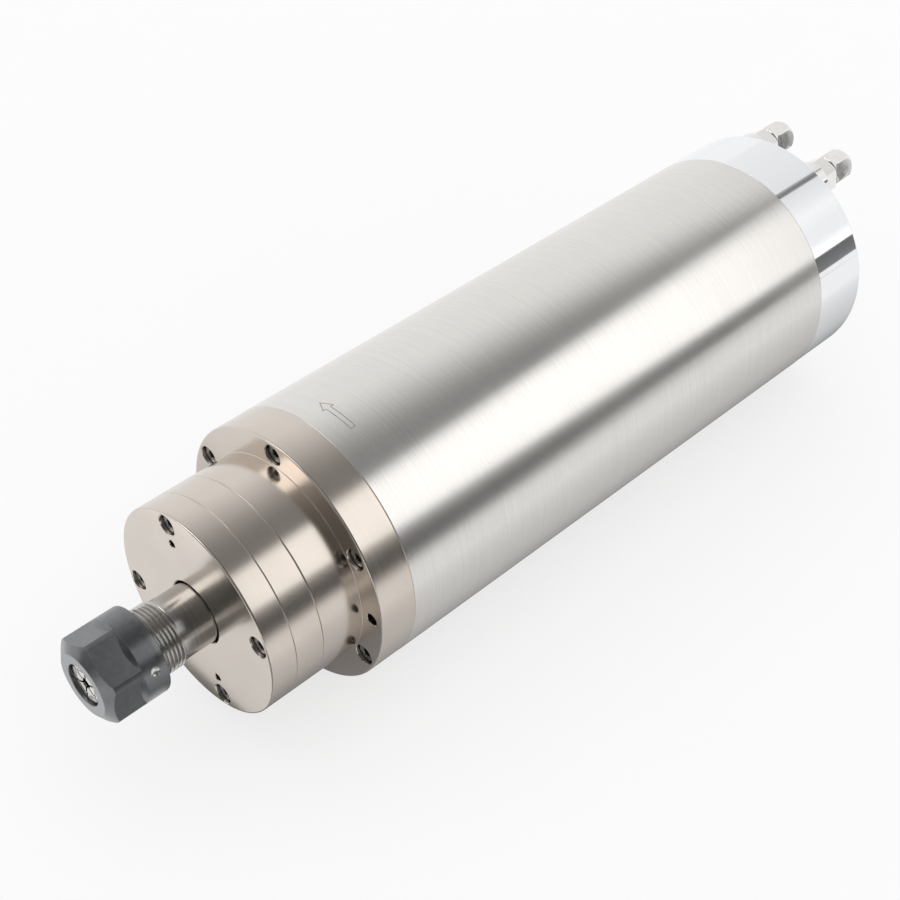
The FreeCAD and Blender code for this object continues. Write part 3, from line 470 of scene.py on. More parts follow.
nose_length = 25.8
flange_length = 18.9
nose_turns = (12, 31, 47, 5)
flange_turns = (8, 40, 22, 51, 33, 17)
solid("nose_screw_set", [
    socket_screw(centre, nose_seat, 1, nose_length, turn)
    for centre, turn in zip(nose_places, nose_turns)],
    "housing", blackened, ["nose_screws"])
solid("flange_screw_set", [
    socket_screw(centre, flange_seat, 1, flange_length, turn)
    for centre, turn in zip(flange_places, flange_turns)],
    "housing", blackened, ["flange_screws"])

# Shaft.
# Hardened alloy steel in one piece: a taper bore for the collet, a ground neck and a rolled thread.
# It runs in the bearings; the part inside the housing carries the rotor.
shaft_front = -205.65
thread_end = -182.25
thread_pitch = 1.5
thread_crest = 12.45
thread_root = 11.53
flanks = (0.0, 0.12, 0.46, 0.66)
neck = 11.5
shaft_angles = ring_angles(144)


def thread_rings(front, end, pitch, crest, root, after, angles, lead=0.8):
    """Rings of a right-handed thread. Ring k at angle a lies at x = front + pitch (k - a/2pi),
    its radius goes root, root, crest, crest over each pitch, rises from the root at the front
    and falls to the radius after it at the end; x is held between the two ends."""
    turns = np.arange(-1, int((end - front) / pitch) + 3)[:, None]
    phase = (turns + np.array(flanks)[None, :]).ravel()
    radius = np.tile([root, root, crest, crest], len(turns))
    x = front + pitch * (phase[:, None] - angles[None, :] / (2 * pi) + angles[0] / (2 * pi))
    held = np.clip(x, front, end)
    r = np.broadcast_to(radius[:, None], x.shape)
    rise = root + np.sign(crest - root) * (held - front) / lead
    fall = after + np.sign(crest - root) * (end - held) / lead
    limit = np.minimum if root < crest else np.maximum
    return list(zip(held, limit(limit(r, rise), fall)))


seat_slope = tan(radians(8.0))
seat_start = -207.35
seat_large = 10.55
seat_end = -180.45


def cone_radius(x, large):
    """Radius at x of the collet's cone of 8 degrees, or of its seat: large where it starts."""
    return large - (x - seat_start) * seat_slope


drawn_bore = 5.5
drawn_bore_length = 30.0
drawn_bore_end = seat_end + drawn_bore_length
collar_front = -158.75
labyrinth_floor = -156.75
labyrinth_inner = 14.6
labyrinth_outer = 17.0
shaft_collar = 18.5
front_journal = 15.0
front_lock_end = -96.25
rotor_seat = 14.5
rotor_end = 54.75
rear_shoulder = 14.3
rear_bearing = 87.25
rear_journal = 12.5
shaft_end = 125.25
end_chamfer = 1.0
shaft_rings = [
    (drawn_bore_end, 0.0), (drawn_bore_end, drawn_bore), (seat_end, drawn_bore),
    (seat_end, cone_radius(seat_end, seat_large)), (shaft_front, cone_radius(shaft_front, seat_large)),
    (shaft_front, thread_root)]
shaft_rings += thread_rings(shaft_front, thread_end, thread_pitch, thread_crest, thread_root, neck,
                            shaft_angles)
shaft_rings += [
    (thread_end, neck), (collar_front, neck), (collar_front, labyrinth_inner),
    (labyrinth_floor, labyrinth_inner), (labyrinth_floor, labyrinth_outer),
    (collar_front, labyrinth_outer), (collar_front, shaft_collar), (front_bearing, shaft_collar),
    (front_bearing, front_journal), (front_lock_end, front_journal), (front_lock_end, rotor_seat),
    (rotor_end, rotor_seat), (rotor_end, rear_shoulder), (rear_bearing, rear_shoulder),
    (rear_bearing, rear_journal), (shaft_end - end_chamfer, rear_journal),
    (shaft_end, rear_journal - end_chamfer), (shaft_end, 0.0)]

shaft_steel, tree, shader, place = finish("shaft_steel", (0.50, 0.487, 0.468), 1.0, 0.22)
lines = noise(tree, place, (3000, 40, 40), 3.0)
tinted(tree, shader, lines, (0.46, 0.448, 0.43), (0.54, 0.526, 0.506))
roughened(tree, shader, lines, 0.19, 0.26)
bumped(tree, shader, lines, 6e-7)
solid("shaft_turned", [skin(shaft_rings, shaft_angles)], "shaft", shaft_steel, ["shaft"])

# Collet.
# Spring steel, hardened and ground, then slit from both ends so that it closes on the tool.
# It lies in the shaft's taper; the nut presses on its nose cone and draws it in.
collet_front = -214.0
collet_end = -181.45
front_slots_end = -187.95
rear_slots_start = -206.45
slot_half = 0.36
slot_phase = -5.5
slot_columns = 4
collet_large = 10.5
collet_bore = 2.0
collet_relief = 3.0
relief_start = -192.95
bore_mouth = 0.4
face_edge = 0.3
face_groove = (4.7, 4.8, 5.5, 5.6)
face_sunk = collet_front + face_edge
nose_radius = 7.4
nose_cone_front = -212.95
nose_cone_end = -209.95
nose_cone = (8.2, 9.93)
extractor_front = -209.55
extractor_groove = 8.7
taper_edge = 0.2
collet_rear = (6.5, 3.2)
rear_edge = 0.3


def on_taper(x):
    """The collet's profile point on its cone at x."""
    return x, cone_radius(x, collet_large)


collet_profile = [
    # the mouth of the bore, and the face with its shallow groove
    (collet_front + bore_mouth, collet_bore), (collet_front, collet_bore + bore_mouth),
    (collet_front, face_groove[0]), (face_sunk, face_groove[1]), (face_sunk, face_groove[2]),
    (collet_front, face_groove[3]), (collet_front, nose_radius - face_edge), (face_sunk, nose_radius),
    # the nose cone and the groove for the extractor ring
    (nose_cone_front, nose_radius), (nose_cone_front, nose_cone[0]), (nose_cone_end, nose_cone[1]),
    (extractor_front, nose_cone[1]), (extractor_front, extractor_groove), (seat_start, extractor_groove),
    # the long taper
    (seat_start, collet_large - taper_edge), on_taper(seat_start + taper_edge),
    on_taper(rear_slots_start), on_taper(front_slots_end), on_taper(collet_end - rear_edge),
    # the rear end and the bore
    (collet_end, collet_rear[0]), (collet_end, collet_rear[1]), (collet_end - taper_edge, collet_relief),
    (front_slots_end, collet_relief), (relief_start, collet_relief), (relief_start, collet_bore),
    (rear_slots_start, collet_bore)]


def slit_ring(profile, slots, between):
    """A ring of a closed profile of (x, r), cut by slots of even width. Each slot is (start, end) along
    X. A column lies at the slot's angle plus or minus asin(half width / r), so the slot's walls are
    flat; `between` columns part the ring from one slot to the next."""
    x, r = np.array(profile).T
    rows, count = len(profile), len(slots)
    middle = radians(slot_phase) + np.arange(count)[:, None, None] * 2 * pi / count
    edge = np.arcsin(slot_half / r)[None, :, None]
    part = np.linspace(0, 1, between + 2)[None, None, :]
    turn = middle + edge + (2 * pi / count - 2 * edge) * part
    turn = turn.transpose(1, 0, 2).reshape(rows, -1)
    points = np.stack([np.repeat(x[:, None], turn.shape[1], axis=1), r[:, None] * np.sin(turn),
                       r[:, None] * np.cos(turn)], axis=-1).reshape(-1, 3)
    columns, step = turn.shape[1], between + 2
    row = np.arange(rows)[:, None] * columns
    after = np.roll(row, -1, axis=0)
    here = np.arange(columns)[None, :]
    there = (here + 1) % columns
    quads = np.stack([row + here, row + there, after + there, after + here], axis=-1)
    keep = np.ones((rows, columns), bool)
    faces = []
    for number, (start, end) in enumerate(slots):
        cut = (x > start - 1e-6) & (x < end + 1e-6)
        wall = np.flatnonzero(cut)
        breaks = np.flatnonzero(np.diff(wall) > 1)
        if len(breaks):
            wall = np.roll(wall, -1 - breaks[0])
        gap = number * step - 1
        left, right = gap % columns, (gap + 1) % columns
        keep[cut & np.roll(cut, -1), gap] = False
        for column in (left, right):
            faces.append((wall * columns + column).tolist())
        outer, inner = wall[0] * columns, wall[-1] * columns
        faces.append([outer + left, outer + right, inner + right, inner + left])
    return points, quads[keep].tolist() + faces


def broken_edges(piece, width, limit, angle=30.0):
    """Small bevels, on the edges with a weight or sharper than the angle in degrees, made before
    the weighted normals."""
    bevel = piece.modifiers.new("broken edges", "BEVEL")
    bevel.width = width * mm
    bevel.segments = 2
    bevel.limit_method = limit
    bevel.angle_limit = radians(angle)
    piece.modifiers.move(1, 0)


collet_slots = [(collet_front - 1, front_slots_end), (rear_slots_start, collet_end + 1)] * 6
collet = solid("spring_collet_slit", [slit_ring(collet_profile, collet_slots, slot_columns)],
               "collet", shaft_steel, ["collet"], sharp=22)
broken_edges(collet, 0.05, "ANGLE", 35)

# Collet nut and its extractor ring.
# Alloy steel, turned, milled to a hexagon and blackened; a balancing mark is drilled in its skirt.
nut_front = -215.15
nut_rear = -192.15
nut_radius = 16.3
nut_flats = 29.2
nut_corner_angle = -3.1
nut_face_radius = 11.8
nut_chamfer = 3.0
nut_slope = (nut_radius - nut_face_radius) / nut_chamfer
flat_end = -202.95
mark_x = nut_rear - 5.0
mark_angle = radians(-70.9)
mark_radius = 1.8
mark_depth = 1.1
mark_bowl = 0.45
mark_field = 2.6
mark_core = 0.5
mark_wall = 0.001

square = np.sort(np.append(np.arange(-10, 11) / 10, [mark_wall - mark_core, mark_core - mark_wall]))
mark_columns = mark_angle + square * mark_field / nut_radius
plain = np.radians(np.arange(nut_corner_angle - 180, nut_corner_angle + 180, 1.0))
plain = plain[np.abs(plain - mark_angle) > mark_field / nut_radius + radians(0.5)]
flat_half = np.arccos(nut_flats / 2 / nut_radius)
flat_middles = radians(nut_corner_angle + 30) + np.arange(-3, 3)[:, None] * pi / 3
flat_ends = flat_middles + np.array([-flat_half, flat_half])
nut_angles = np.unique(np.concatenate([plain, mark_columns, flat_ends.ravel()]))
nut_angles = np.append(nut_angles, nut_angles[0] + 2 * pi)


def dimpled(rows, angles):
    """The skirt with a round hollow. Within a square about the mark a lattice point (u, v) moves
    to a circle, (u, v) c / |(u, v)| with c = max(|u|, |v|), fully up to c = 0.5 and less up to
    c = 1; the points inside c = 0.5 are sunk by depth (1 - 0.45 (2c)^2), deepest in the middle."""
    u = (angles[None, :] - mark_angle) * nut_radius / mark_field + 0 * rows[:, None]
    v = (rows[:, None] - mark_x) / mark_field + 0 * angles[None, :]
    reach = np.maximum(np.abs(u), np.abs(v))
    distance = np.maximum(np.hypot(u, v), 1e-9)
    pull = np.clip((1 - reach) / mark_core, 0, 1)
    factor = 1 + pull * (reach / distance * mark_radius / mark_field / mark_core - 1)
    inside = reach < mark_core - mark_wall / 2
    sunk = nut_radius - mark_depth * inside * (1 - mark_bowl * (reach / mark_core) ** 2)
    return [(mark_x + v[k] * factor[k] * mark_field, sunk[k],
             mark_angle + u[k] * factor[k] * mark_field / nut_radius) for k in range(len(rows))]


def swept_skin(rings):
    """As skin, for rings of (x, r, angles) whose angles also change along the ring."""
    x, r, turn = (np.array([np.broadcast_to(ring[k], rings[0][2].shape) for ring in rings])
                  for k in range(3))
    return lattice(np.stack([x, r * np.sin(turn), r * np.cos(turn)], axis=-1))


nut_edge = 0.7
edge_drop = 0.1
nut_mouth = 7.85
mouth_rim = 0.25
mouth_depth = 2.0
nut_bore = 12.5
bore_chamfer = 0.4
thread_start = -206.0
cone_front = -213.05
cone_small = 8.243
cone_rear = -209.25
cone_large = 10.437
hex_radius = np.minimum(hexagon(nut_angles, nut_flats, nut_corner_angle), nut_radius)
skirt_rows = np.concatenate([mark_x + square * mark_field, [nut_rear - nut_edge]])
front_part = [
    (nut_front + mouth_depth, nut_mouth, nut_angles), (nut_front + mouth_rim, nut_mouth, nut_angles),
    (nut_front, nut_mouth + mouth_rim, nut_angles), (nut_front, nut_face_radius, nut_angles),
    (nut_front + (hex_radius - nut_face_radius) / nut_slope, hex_radius, nut_angles),
    (flat_end + hex_radius - nut_flats / 2, hex_radius, nut_angles),
    (flat_end + nut_radius - nut_flats / 2, nut_radius, nut_angles)]
rear_part = [
    (nut_rear - nut_edge / 2, nut_radius - edge_drop, nut_angles),
    (nut_rear, nut_radius - nut_edge, nut_angles), (nut_rear, nut_bore + bore_chamfer, nut_angles)]
nut_thread = thread_rings(thread_start, nut_rear - bore_chamfer, thread_pitch, nut_bore + bore_chamfer,
                          nut_bore, nut_bore, nut_angles)
inner_part = [(x, r, nut_angles) for x, r in nut_thread[::-1]]
inner_part += [(cone_rear, nut_bore, nut_angles), (cone_rear, cone_large, nut_angles),
               (cone_front, cone_small, nut_angles), (cone_front, nut_mouth, nut_angles),
               (nut_front + mouth_depth, nut_mouth, nut_angles)]

dark, tree, shader, place = finish("dark_nut", (0.215, 0.22, 0.225), 1.0, 0.30)
lines = noise(tree, place, (1200, 60, 60), 3.0)
specks = noise(tree, place, (500, 500, 500), 3.0, (2, 5, 1))
tinted(tree, shader, specks, (0.185, 0.19, 0.195), (0.225, 0.23, 0.235))
roughened(tree, shader, specks, 0.27, 0.33)
bumped(tree, shader, lines, 4e-7)
bare, tree, shader, place = finish("drilled_mark", (0.74, 0.74, 0.72), 1.0, 0.22)
cuttings = noise(tree, place, (2500, 2500, 2500), 2.0)
tinted(tree, shader, cuttings, (0.68, 0.68, 0.66), (0.80, 0.80, 0.78))

skirt = dimpled(skirt_rows, nut_angles)
nut = solid("collet_nut_milled", [swept_skin(front_part + skirt + rear_part + inner_part)],
            "collet_nut", dark, ["collet_nut"], sharp=22)
nut.data.materials.append(bare)
outer_skin = nut_bore + 1.0
mark_edge = mark_radius * 1.02
middles = np.empty(3 * len(nut.data.polygons))
nut.data.polygons.foreach_get("center", middles)
middles = middles.reshape(-1, 3) / mm
turned = np.arctan2(middles[:, 1], middles[:, 2]) - mark_angle
in_mark = np.hypot(middles[:, 0] - mark_x, nut_radius * turned) < mark_edge
in_mark &= np.hypot(middles[:, 1], middles[:, 2]) > outer_skin
nut.data.polygons.foreach_set("material_index", in_mark.astype(np.int32))

ends = np.empty(2 * len(nut.data.edges), int)
nut.data.edges.foreach_get("vertices", ends)
places = np.empty(3 * len(nut.data.vertices))
nut.data.vertices.foreach_get("co", places)
places = places.reshape(-1, 3) / mm
outside = np.hypot(places[:, 1], places[:, 2]) > outer_skin
outside |= places[:, 0] < nut_front + mouth_depth / 2
corners = np.empty(len(nut.data.edges), bool)
nut.data.attributes["sharp_edge"].data.foreach_get("value", corners)
weights = (corners & outside[ends.reshape(-1, 2)].all(axis=1)).astype(float)
nut.data.attributes.new("bevel_weight_edge", "FLOAT", "EDGE").data.foreach_set("value", weights)
broken_edges(nut, 0.12, "WEIGHT")


def dressed(nodes, material):
    """The finish of solids that stay as they are."""
    for node in nodes:
        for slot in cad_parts[node].material_slots:
            slot.material = material


dressed(["extractor_ring"], dark)

# Rear cap.
# An aluminium cover, turned hollow for the leads and polished like a mirror.
# Four screws hold it to the jacket, and the water ports and the receptacle pass through its plate.
cap_face = 142.05
cap_plate = 134.05
cap_hollow = 45.9
rear_chamfer = 0.6
rear_screws = (4, 45.0, 44.0)
rear_turns = (3, 27, 44, 15)
rear_length = 30.5
rear_seat = cap_face - screw_head - head_sink
rear_hole_end = cap_plate + 1.0
rear_hole_tip = cap_plate + 0.3
rear_places = circle_places(*rear_screws)
fitting_radius = 41.2
fitting_angle = radians(21.5)
fitting_places = [(side * fitting_radius * sin(fitting_angle), fitting_radius * cos(fitting_angle))
                  for side in (-1, 1)]
fitting_hole = 5.03
receptacle_centre = (0, -16.0)
receptacle_tail = 8.93
corner_offset = 9.3
corner_hole = 1.575
corner_depth = 6.5
corner_point = 7.2
corner_places = [(side * corner_offset, receptacle_centre[1] + up * corner_offset)
                 for side in (-1, 1) for up in (-1, 1)]
wide_angles = ring_angles(96)
tail_rim = (receptacle_tail, wide_angles, receptacle_centre)
cap_edge = turned_edge([
    (sleeve_rear, cap_hollow), (sleeve_rear, end_radius, seam_break),
    (cap_face, end_radius, rear_chamfer), (cap_face, 0.0)])
parts = [
    skin([(cap_plate, cap_hollow), (sleeve_rear, cap_hollow)] + cap_edge, body_angles),
    pierced(cap_face, body_ring(cap_edge[-1][1]),
            rims(rear_places, counterbore + flange_rim) + rims(fitting_places, fitting_hole)
            + [tail_rim] + rims(corner_places, corner_hole)),
    pierced(cap_plate, body_ring(cap_hollow), rims(fitting_places, fitting_hole) + [tail_rim]),
    *hole_walls(fitting_places, [(cap_face, fitting_hole), (cap_plate, fitting_hole)]),
    *hole_walls(corner_places, [(cap_face, corner_hole), (cap_face - corner_depth, corner_hole),
                                (cap_face - corner_point, 0)]),
    skin([(cap_face, receptacle_tail), (cap_plate, receptacle_tail)], wide_angles, receptacle_centre),
    *hole_walls(rear_places, counterbored(cap_face, rear_seat, rear_hole_end, flange_rim)
                + [(rear_hole_tip, 0)])]
mirror, tree, shader, place = finish("polished_cap", (0.86, 0.87, 0.885), 1.0, 0.05)
haze = noise(tree, place, (120, 120, 120), 4.0)
roughened(tree, shader, haze, 0.035, 0.08)
buffing = noise(tree, place, (900, 900, 60), 2.0)
tinted(tree, shader, buffing, (0.85, 0.86, 0.875), (0.875, 0.885, 0.90))
solid("rear_cap_polished", parts, "housing", mirror, ["rear_cap"])
solid("rear_cap_screw_set", [
    socket_screw(centre, rear_seat, -1, rear_length, turn)
    for centre, turn in zip(rear_places, rear_turns)],
    "housing", blackened, ["rear_cap_screws"])

# Hose fittings.
# Nickel plated brass: a collar on the cap's face, a hexagon, a thread, and a domed union nut that
# squeezes a ferrule on the coolant hose. No hose is fitted.
shank_end = 135.05
shank_radius = 5.0
collar_end = 146.75
collar_radius = 8.4
collar_ease = 0.5
hex_end = 154.25
hex_face = 6.9
hex_slope = 0.6
fitting_flats = 14.0
fitting_turn = 10
fitting_end = 163.25
fitting_pitch = 1.0
fitting_crest = 5.0
fitting_root = 4.5
fitting_run_out = 0.6
water_bore = 2.0
hose_stop = 151.25
hose_radius = 3.1
ferrule_cone = ((fitting_end - 0.25, 4.3), (161.6, hose_radius))
fitting_lip = 4.4
small_angles = ring_angles(120, fitting_turn)

nickel, tree, shader, place = finish("plated_brass", (0.83, 0.82, 0.80), 1.0, 0.09)
plate = noise(tree, place, (400, 400, 400), 3.0)
tinted(tree, shader, plate, (0.80, 0.79, 0.77), (0.86, 0.85, 0.83))
roughened(tree, shader, plate, 0.06, 0.14)

fitting_hex = hexagon(small_angles, fitting_flats, fitting_turn)
chamfer = (fitting_hex - hex_face) * hex_slope
fitting_rings = [(shank_end, water_bore), (shank_end, shank_radius), (cap_face, shank_radius)]
fitting_rings += eased([
    (cap_face, shank_radius), (cap_face, collar_radius, seam_break),
    (collar_end, collar_radius, collar_ease), (collar_end, hex_face)])[1:]
fitting_rings += [(collar_end + chamfer, fitting_hex), (hex_end - chamfer, fitting_hex),
                  (hex_end, hex_face), (hex_end, fitting_root)]
fitting_rings += thread_rings(hex_end, fitting_end, fitting_pitch, fitting_crest, fitting_root,
                              fitting_root, small_angles, fitting_run_out)
fitting_rings += [(fitting_end, fitting_root), (fitting_end, fitting_lip), *ferrule_cone,
                  (hose_stop, hose_radius), (hose_stop, water_bore), (shank_end, water_bore)]

union_front = 155.65
union_shoulder = 161.65
union_tip = 167.85
union_flats = 12.6
union_turn = 25
union_corner = union_flats / sqrt(3)
union_face = 6.4
union_slope = 0.9
union_bore = 5.05
union_bore_end = 164.85
union_cone = ((166.15, hose_radius), (165.25, 4.8))
tip_break = 0.2
dome_rings = 9
dome_length = union_tip - union_shoulder
dome_top = 4.0
dome_width = union_corner - dome_top
union_angles = ring_angles(120, union_turn)
union_hex = hexagon(union_angles, union_flats, union_turn)
union_rings = [(union_front, union_bore), (union_front, union_face),
               (union_front + (union_hex - union_face) * union_slope, union_hex)]
onset = union_shoulder + dome_length * np.sqrt(
    1 - np.clip((union_hex - dome_top) / dome_width, 0, 1) ** 2)
for part in np.linspace(0, 1, dome_rings):
    x = onset + (union_tip - onset) * part
    fall = np.sqrt(np.clip(1 - ((x - union_shoulder) / dome_length) ** 2, 0, 1))
    union_rings.append((x, np.minimum(union_hex, dome_top + dome_width * fall)))
union_rings += [(union_tip, hose_radius + tip_break), (union_tip - tip_break, hose_radius),
                *union_cone, (union_bore_end, union_bore), (union_front, union_bore)]
for side, centre in zip(("left", "right"), fitting_places):
    solid(side + "_fitting_body_plated", [skin(fitting_rings, small_angles, centre)],
          "housing", nickel, [side + "_fitting_body"])
    solid(side + "_union_nut_plated", [skin(union_rings, union_angles, centre)],
          side + "_union_nut", nickel, [side + "_union_nut"])

brass, tree, shader, place = finish("bare_brass", (0.80, 0.58, 0.28), 1.0, 0.2)
drawn = noise(tree, place, (500, 500, 500), 3.0)
tinted(tree, shader, drawn, (0.76, 0.54, 0.25), (0.84, 0.62, 0.32))
roughened(tree, shader, drawn, 0.15, 0.28)
dressed(["left_ferrule", "right_ferrule"], brass)

# Power receptacle.
# A plated shell with a thread for the plug, a moulded disc, four brass pins and four small screws.
# The screws hold its square flange to the rear cap.
dressed(["receptacle_shell", "receptacle_screws"], nickel)
dressed(["contact_pins"], brass)
plastic, tree, shader, place = finish("insulator_plastic", (0.035, 0.035, 0.037), 0.0, 0.45)
grain = noise(tree, place, (1500, 1500, 1500), 3.0)
tinted(tree, shader, grain, (0.028, 0.028, 0.03), (0.045, 0.045, 0.048))
bumped(tree, shader, grain, 1e-5)
dressed(["receptacle_insulator"], plastic)

# Inside: water jacket, bearings, stator and rotor.
# None of it shows from outside; each keeps its solid and takes the finish of what it is made of.
inside = {
    "inner_alloy": ((0.78, 0.78, 0.79), 1.0, 0.35, ("water_jacket", "rear_bearing_housing")),
    "bearing_steel": ((0.70, 0.70, 0.71), 1.0, 0.15, (
        "front_outer_rings", "front_inner_rings", "front_ball_sets", "front_outer_spacer",
        "front_inner_spacer", "front_clamp_sleeve", "front_lock_nut", "rear_outer_rings",
        "rear_inner_rings", "rear_ball_sets", "preload_spring", "rear_lock_nut")),
    "screw_steel": ((0.10, 0.098, 0.095), 1.0, 0.4, ("rear_housing_screws",)),
    "rotor_alloy": ((0.75, 0.75, 0.76), 1.0, 0.4, ("rotor_end_rings",)),
    "lamination": ((0.30, 0.30, 0.32), 1.0, 0.5, ("stator_core", "rotor_core")),
    "copper": ((0.80, 0.38, 0.20), 1.0, 0.3, ("stator_winding",)),
    "seal_rubber": ((0.02, 0.02, 0.02), 0.0, 0.6, ("front_jacket_seal", "rear_jacket_seal"))}
for name, (colour, metallic, roughness, nodes) in inside.items():
    material, tree, shader, place = finish(name + "_inside", colour, metallic, roughness)
    mottle = noise(tree, place, (700, 300, 300), 3.0)
    low, high = (tuple(part * factor for part in colour) for factor in (0.88, 1.08))
    tinted(tree, shader, mottle, low, high)
    roughened(tree, shader, mottle, roughness * 0.85, roughness * 1.15)
    dressed(nodes, material)

# Floor, surroundings and camera.
# A pale floor under the spindle, and white all round it. Metal also mirrors cards that the camera doesn't
# see: a long bright one, dark ones on both sides of it, and graded ones on the floor, among them a painted
# shadow of the spindle round where it stands, painted shade before the nose and a painted patch of light
# before the nut.
floor_level = -0.0505
floor_size = 1.5
floor_white = 0.7


def sheet(name, points, faces, material):
    """An open sheet of the surroundings, of points in metres."""
    mesh = bpy.data.meshes.new(name)
    mesh.from_pydata(points, [], faces)
    piece = bpy.data.objects.new(name, mesh)
    bpy.context.scene.collection.objects.link(piece)
    mesh.materials.append(material)
    return piece


def looks(tree):
    """1 for a ray of the camera, of a mirror or through glass, 0 for light that a surface gathers."""
    rays = tree.nodes.new("ShaderNodeLightPath")
    seen = rays.outputs["Is Camera Ray"]
    for name in ("Is Glossy Ray", "Is Transmission Ray"):
        both = tree.nodes.new("ShaderNodeMath")
        both.operation = "ADD"
        both.use_clamp = True
        tree.links.new(seen, both.inputs[0])
        tree.links.new(rays.outputs[name], both.inputs[1])
        seen = both.outputs["Value"]
    return seen


floor_finish, tree, shader, place = finish("floor", (0.93, 0.93, 0.93), 0.0, 0.9)
shader.inputs["Specular IOR Level"].default_value = 0.2
paper = noise(tree, place, (40, 40, 40), 2.0)
tinted(tree, shader, paper, (0.925, 0.925, 0.925), (0.935, 0.935, 0.935))
white = tree.nodes.new("ShaderNodeEmission")
blend = tree.nodes.new("ShaderNodeMixShader")
tree.links.new(spread(tree, looks(tree), 0.0, floor_white, 0.5, 0.5), blend.inputs["Fac"])
tree.links.new(shader.outputs["BSDF"], blend.inputs[1])
tree.links.new(white.outputs["Emission"], blend.inputs[2])
tree.links.new(blend.outputs["Shader"], tree.nodes["Material Output"].inputs["Surface"])
sheet("floor", [(side * floor_size, end * floor_size, floor_level)
                for side, end in ((-1, -1), (1, -1), (1, 1), (-1, 1))], [(0, 1, 2, 3)], floor_finish)

card_distance = 1.2
card_columns = 33


def graded(name):
    """A glow whose strength is the sheet's own value at each point."""
    material = bpy.data.materials.new(name)
    material.use_nodes = True
    tree = material.node_tree
    tree.nodes.remove(tree.nodes["Principled BSDF"])
    light = tree.nodes.new("ShaderNodeEmission")
    light.inputs["Color"].default_value = (1, 1, 1, 1)
    tree.links.new(light.outputs["Emission"], tree.nodes["Material Output"].inputs["Surface"])
    level = tree.nodes.new("ShaderNodeAttribute")
    level.attribute_name = "level"
    tree.links.new(level.outputs["Fac"], light.inputs["Strength"])
    return material


def unseen(name, points, levels):
    """A card that only metal sees: two rows of points in metres, and its brightness along them,
    as evenly spaced levels."""
    places, faces = lattice(points)
    piece = sheet(name, places, faces.tolist(), graded(name))
    part = np.linspace(0, 1, points.shape[1])
    level = np.tile(np.interp(part, np.linspace(0, 1, len(levels)), levels), 2)
    piece.data.attributes.new("level", "FLOAT", "POINT").data.foreach_set("value", level)
    piece.visible_camera = False
    piece.visible_diffuse = False
    piece.visible_shadow = False


def card(name, low, high, levels):
    """A card bent round the spindle at one distance. Each end is (x, start, end): where it lies, and
    the angles that it spans there, from +Z towards +Y; between the ends both change in a straight line."""
    part = np.linspace(0, 1, card_columns)
    rows = []
    for x, start, end in (low, high):
        turn = np.radians(start + (end - start) * part)
        rows.append(np.stack([x + 0 * part, card_distance * np.sin(turn), card_distance * np.cos(turn)],
                             axis=1))
    unseen(name, np.array(rows), levels)


def floor_card(name, near, far, levels, height=floor_level + 0.0002):
    """A card lying flat just above the floor. Near and far are its ends (x, start, end) along Y."""
    part = np.linspace(0, 1, card_columns)
    unseen(name, np.array([np.stack([x + 0 * part, start + (end - start) * part, height + 0 * part], axis=1)
                           for x, start, end in (near, far)]), levels)


def wall_card(name, x, y, z, levels):
    """A card standing across the axis at x, between two y, its levels going up from the lower z."""
    height = np.linspace(z[0], z[1], len(levels))
    unseen(name, np.array([np.stack([x + 0 * height, side + 0 * height, height], axis=1) for side in y]),
           levels)


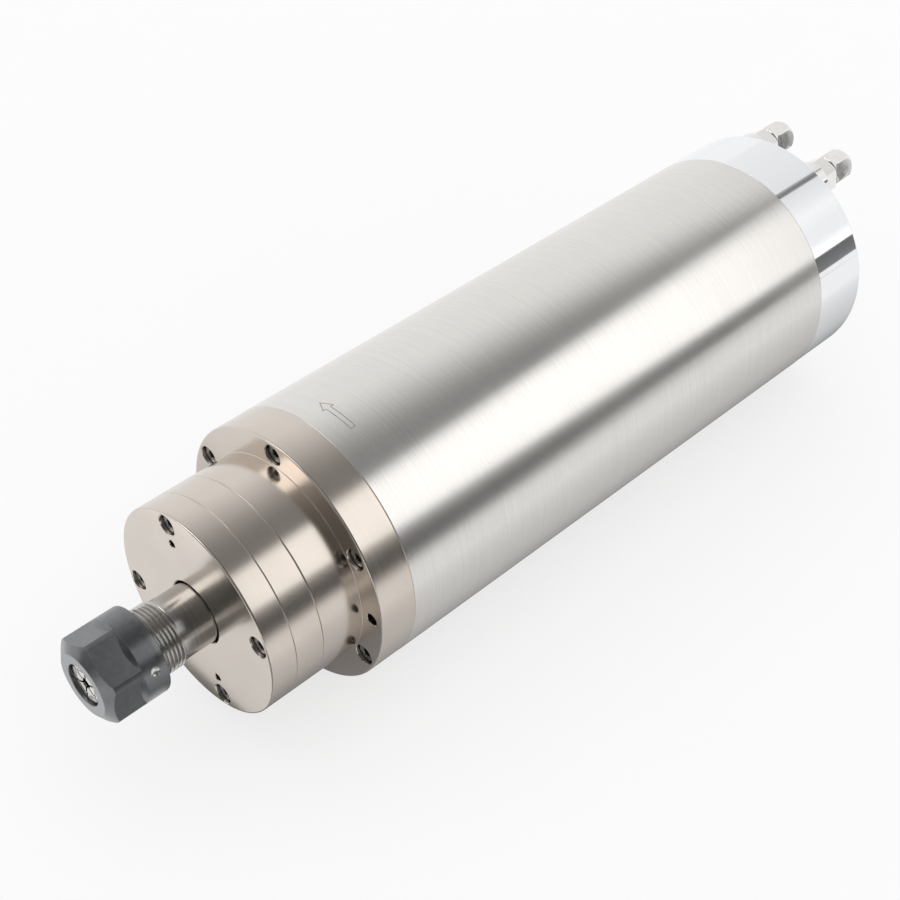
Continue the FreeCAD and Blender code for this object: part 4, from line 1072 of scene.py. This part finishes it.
# The cards' ends along X lie where the sleeve starts to mirror them, and where the rear cap does.
sleeve_seen = 0.22
cap_seen = 1.27
cap_end = 1.56
card("long_softbox", (sleeve_seen, -31, -65), (cap_seen, -20, -77), [1.5, 1.5])
card("dark_ceiling", (sleeve_seen, 62, -27), (cap_seen, 8, -13), [1.0, 0.86, 0.66, 0.45, 0.31, 0.27, 0.25])
card("dark_horizon", (sleeve_seen, -65, -98), (cap_seen, -77, -98), [0.6, 0.22, 0.12, 0.12, 0.12])
card("cap_sky", (cap_seen, 60, -4), (cap_end, 60, -4), [0.95, 0.92, 0.9, 0.86])
card("cap_stripe", (cap_seen, -4, -10), (cap_end, -4, -10), [0.5, 0.2, 0.3])
card("cap_light", (cap_seen, -10, -77), (cap_end, -10, -77), [0.84, 0.92, 1.05, 0.98, 0.98, 1.35])
card("cap_horizon", (cap_seen, -77, -98), (cap_end, -77, -98), [0.14, 0.2, 0.28])
card("dark_front", (-0.35, 75, -98), (sleeve_seen, 75, -98), [1.0, 0.6, 0.2, 0.1, 0.08, 0.1, 0.14])
card("front_light", (-1.0, 50, 14), (-0.45, 50, 14), [2.6, 2.6])
card("dark_side", (-1.0, 14, -88), (-0.35, 14, -88), [0.5, 0.16, 0.12, 0.12])
floor_card("dark_floor", (-1.0, -0.18, -0.8), (0.6, -0.45, -1.1), [0.85, 0.5, 0.2, 0.12],
           floor_level + 0.002)
# Painted shadow: a grey strip that only metal sees, darkest under the spindle, stands in for its shadow on
# the floor.
floor_card("contact_shade", (-0.178, -0.15, 0.15), (0.5, -0.15, 0.15),
           [0.95, 0.84, 0.74, 0.62, 0.28, 0.18, 0.28, 0.62, 0.74, 0.84, 0.95])
# Painted light: a bright patch of floor before the nut that only metal mirrors, lightening the nut's front
# face.
floor_card("front_gleam", (-0.3, 0.0, 0.13), (-0.222, 0.0, 0.13), [1.3, 1.3])
# Painted shade: a darker patch of floor before and under the nose that only metal mirrors.
floor_card("front_shade", (-0.3, -0.2, -0.03), (-0.18, -0.2, -0.03), [0.7, 0.35, 0.3, 0.35])
wall_card("dark_wall", -1.0, (-0.9, 0.6), (-0.045, 1.15), [0.1, 0.1, 0.12, 0.4, 0.8, 1.0, 1.0])

world = bpy.data.worlds.new("surroundings")
world.use_nodes = True
bpy.context.scene.world = world
world.node_tree.nodes["Background"].inputs["Color"].default_value = (1, 1, 1, 1)

camera_down = 41.1057
camera_turn = -44.4652
camera_roll = -0.2
spindle_roll = -2.2
camera = bpy.data.objects.new("camera", bpy.data.cameras.new("camera"))
bpy.context.scene.collection.objects.link(camera)
camera.data.sensor_width = 36.0
camera.data.lens = 64.2116
camera.data.clip_end = 20.0
camera.location = (-0.367902, -0.308657, 0.406987)
looking = Euler((radians(90 - camera_down), 0, radians(camera_turn))).to_matrix()
looking = looking @ Matrix.Rotation(radians(camera_roll), 3, "Z")
camera.rotation_euler = (Matrix.Rotation(radians(spindle_roll), 3, "X") @ looking).to_euler()
bpy.context.scene.camera = camera
bpy.context.scene.view_settings.view_transform = "Standard"
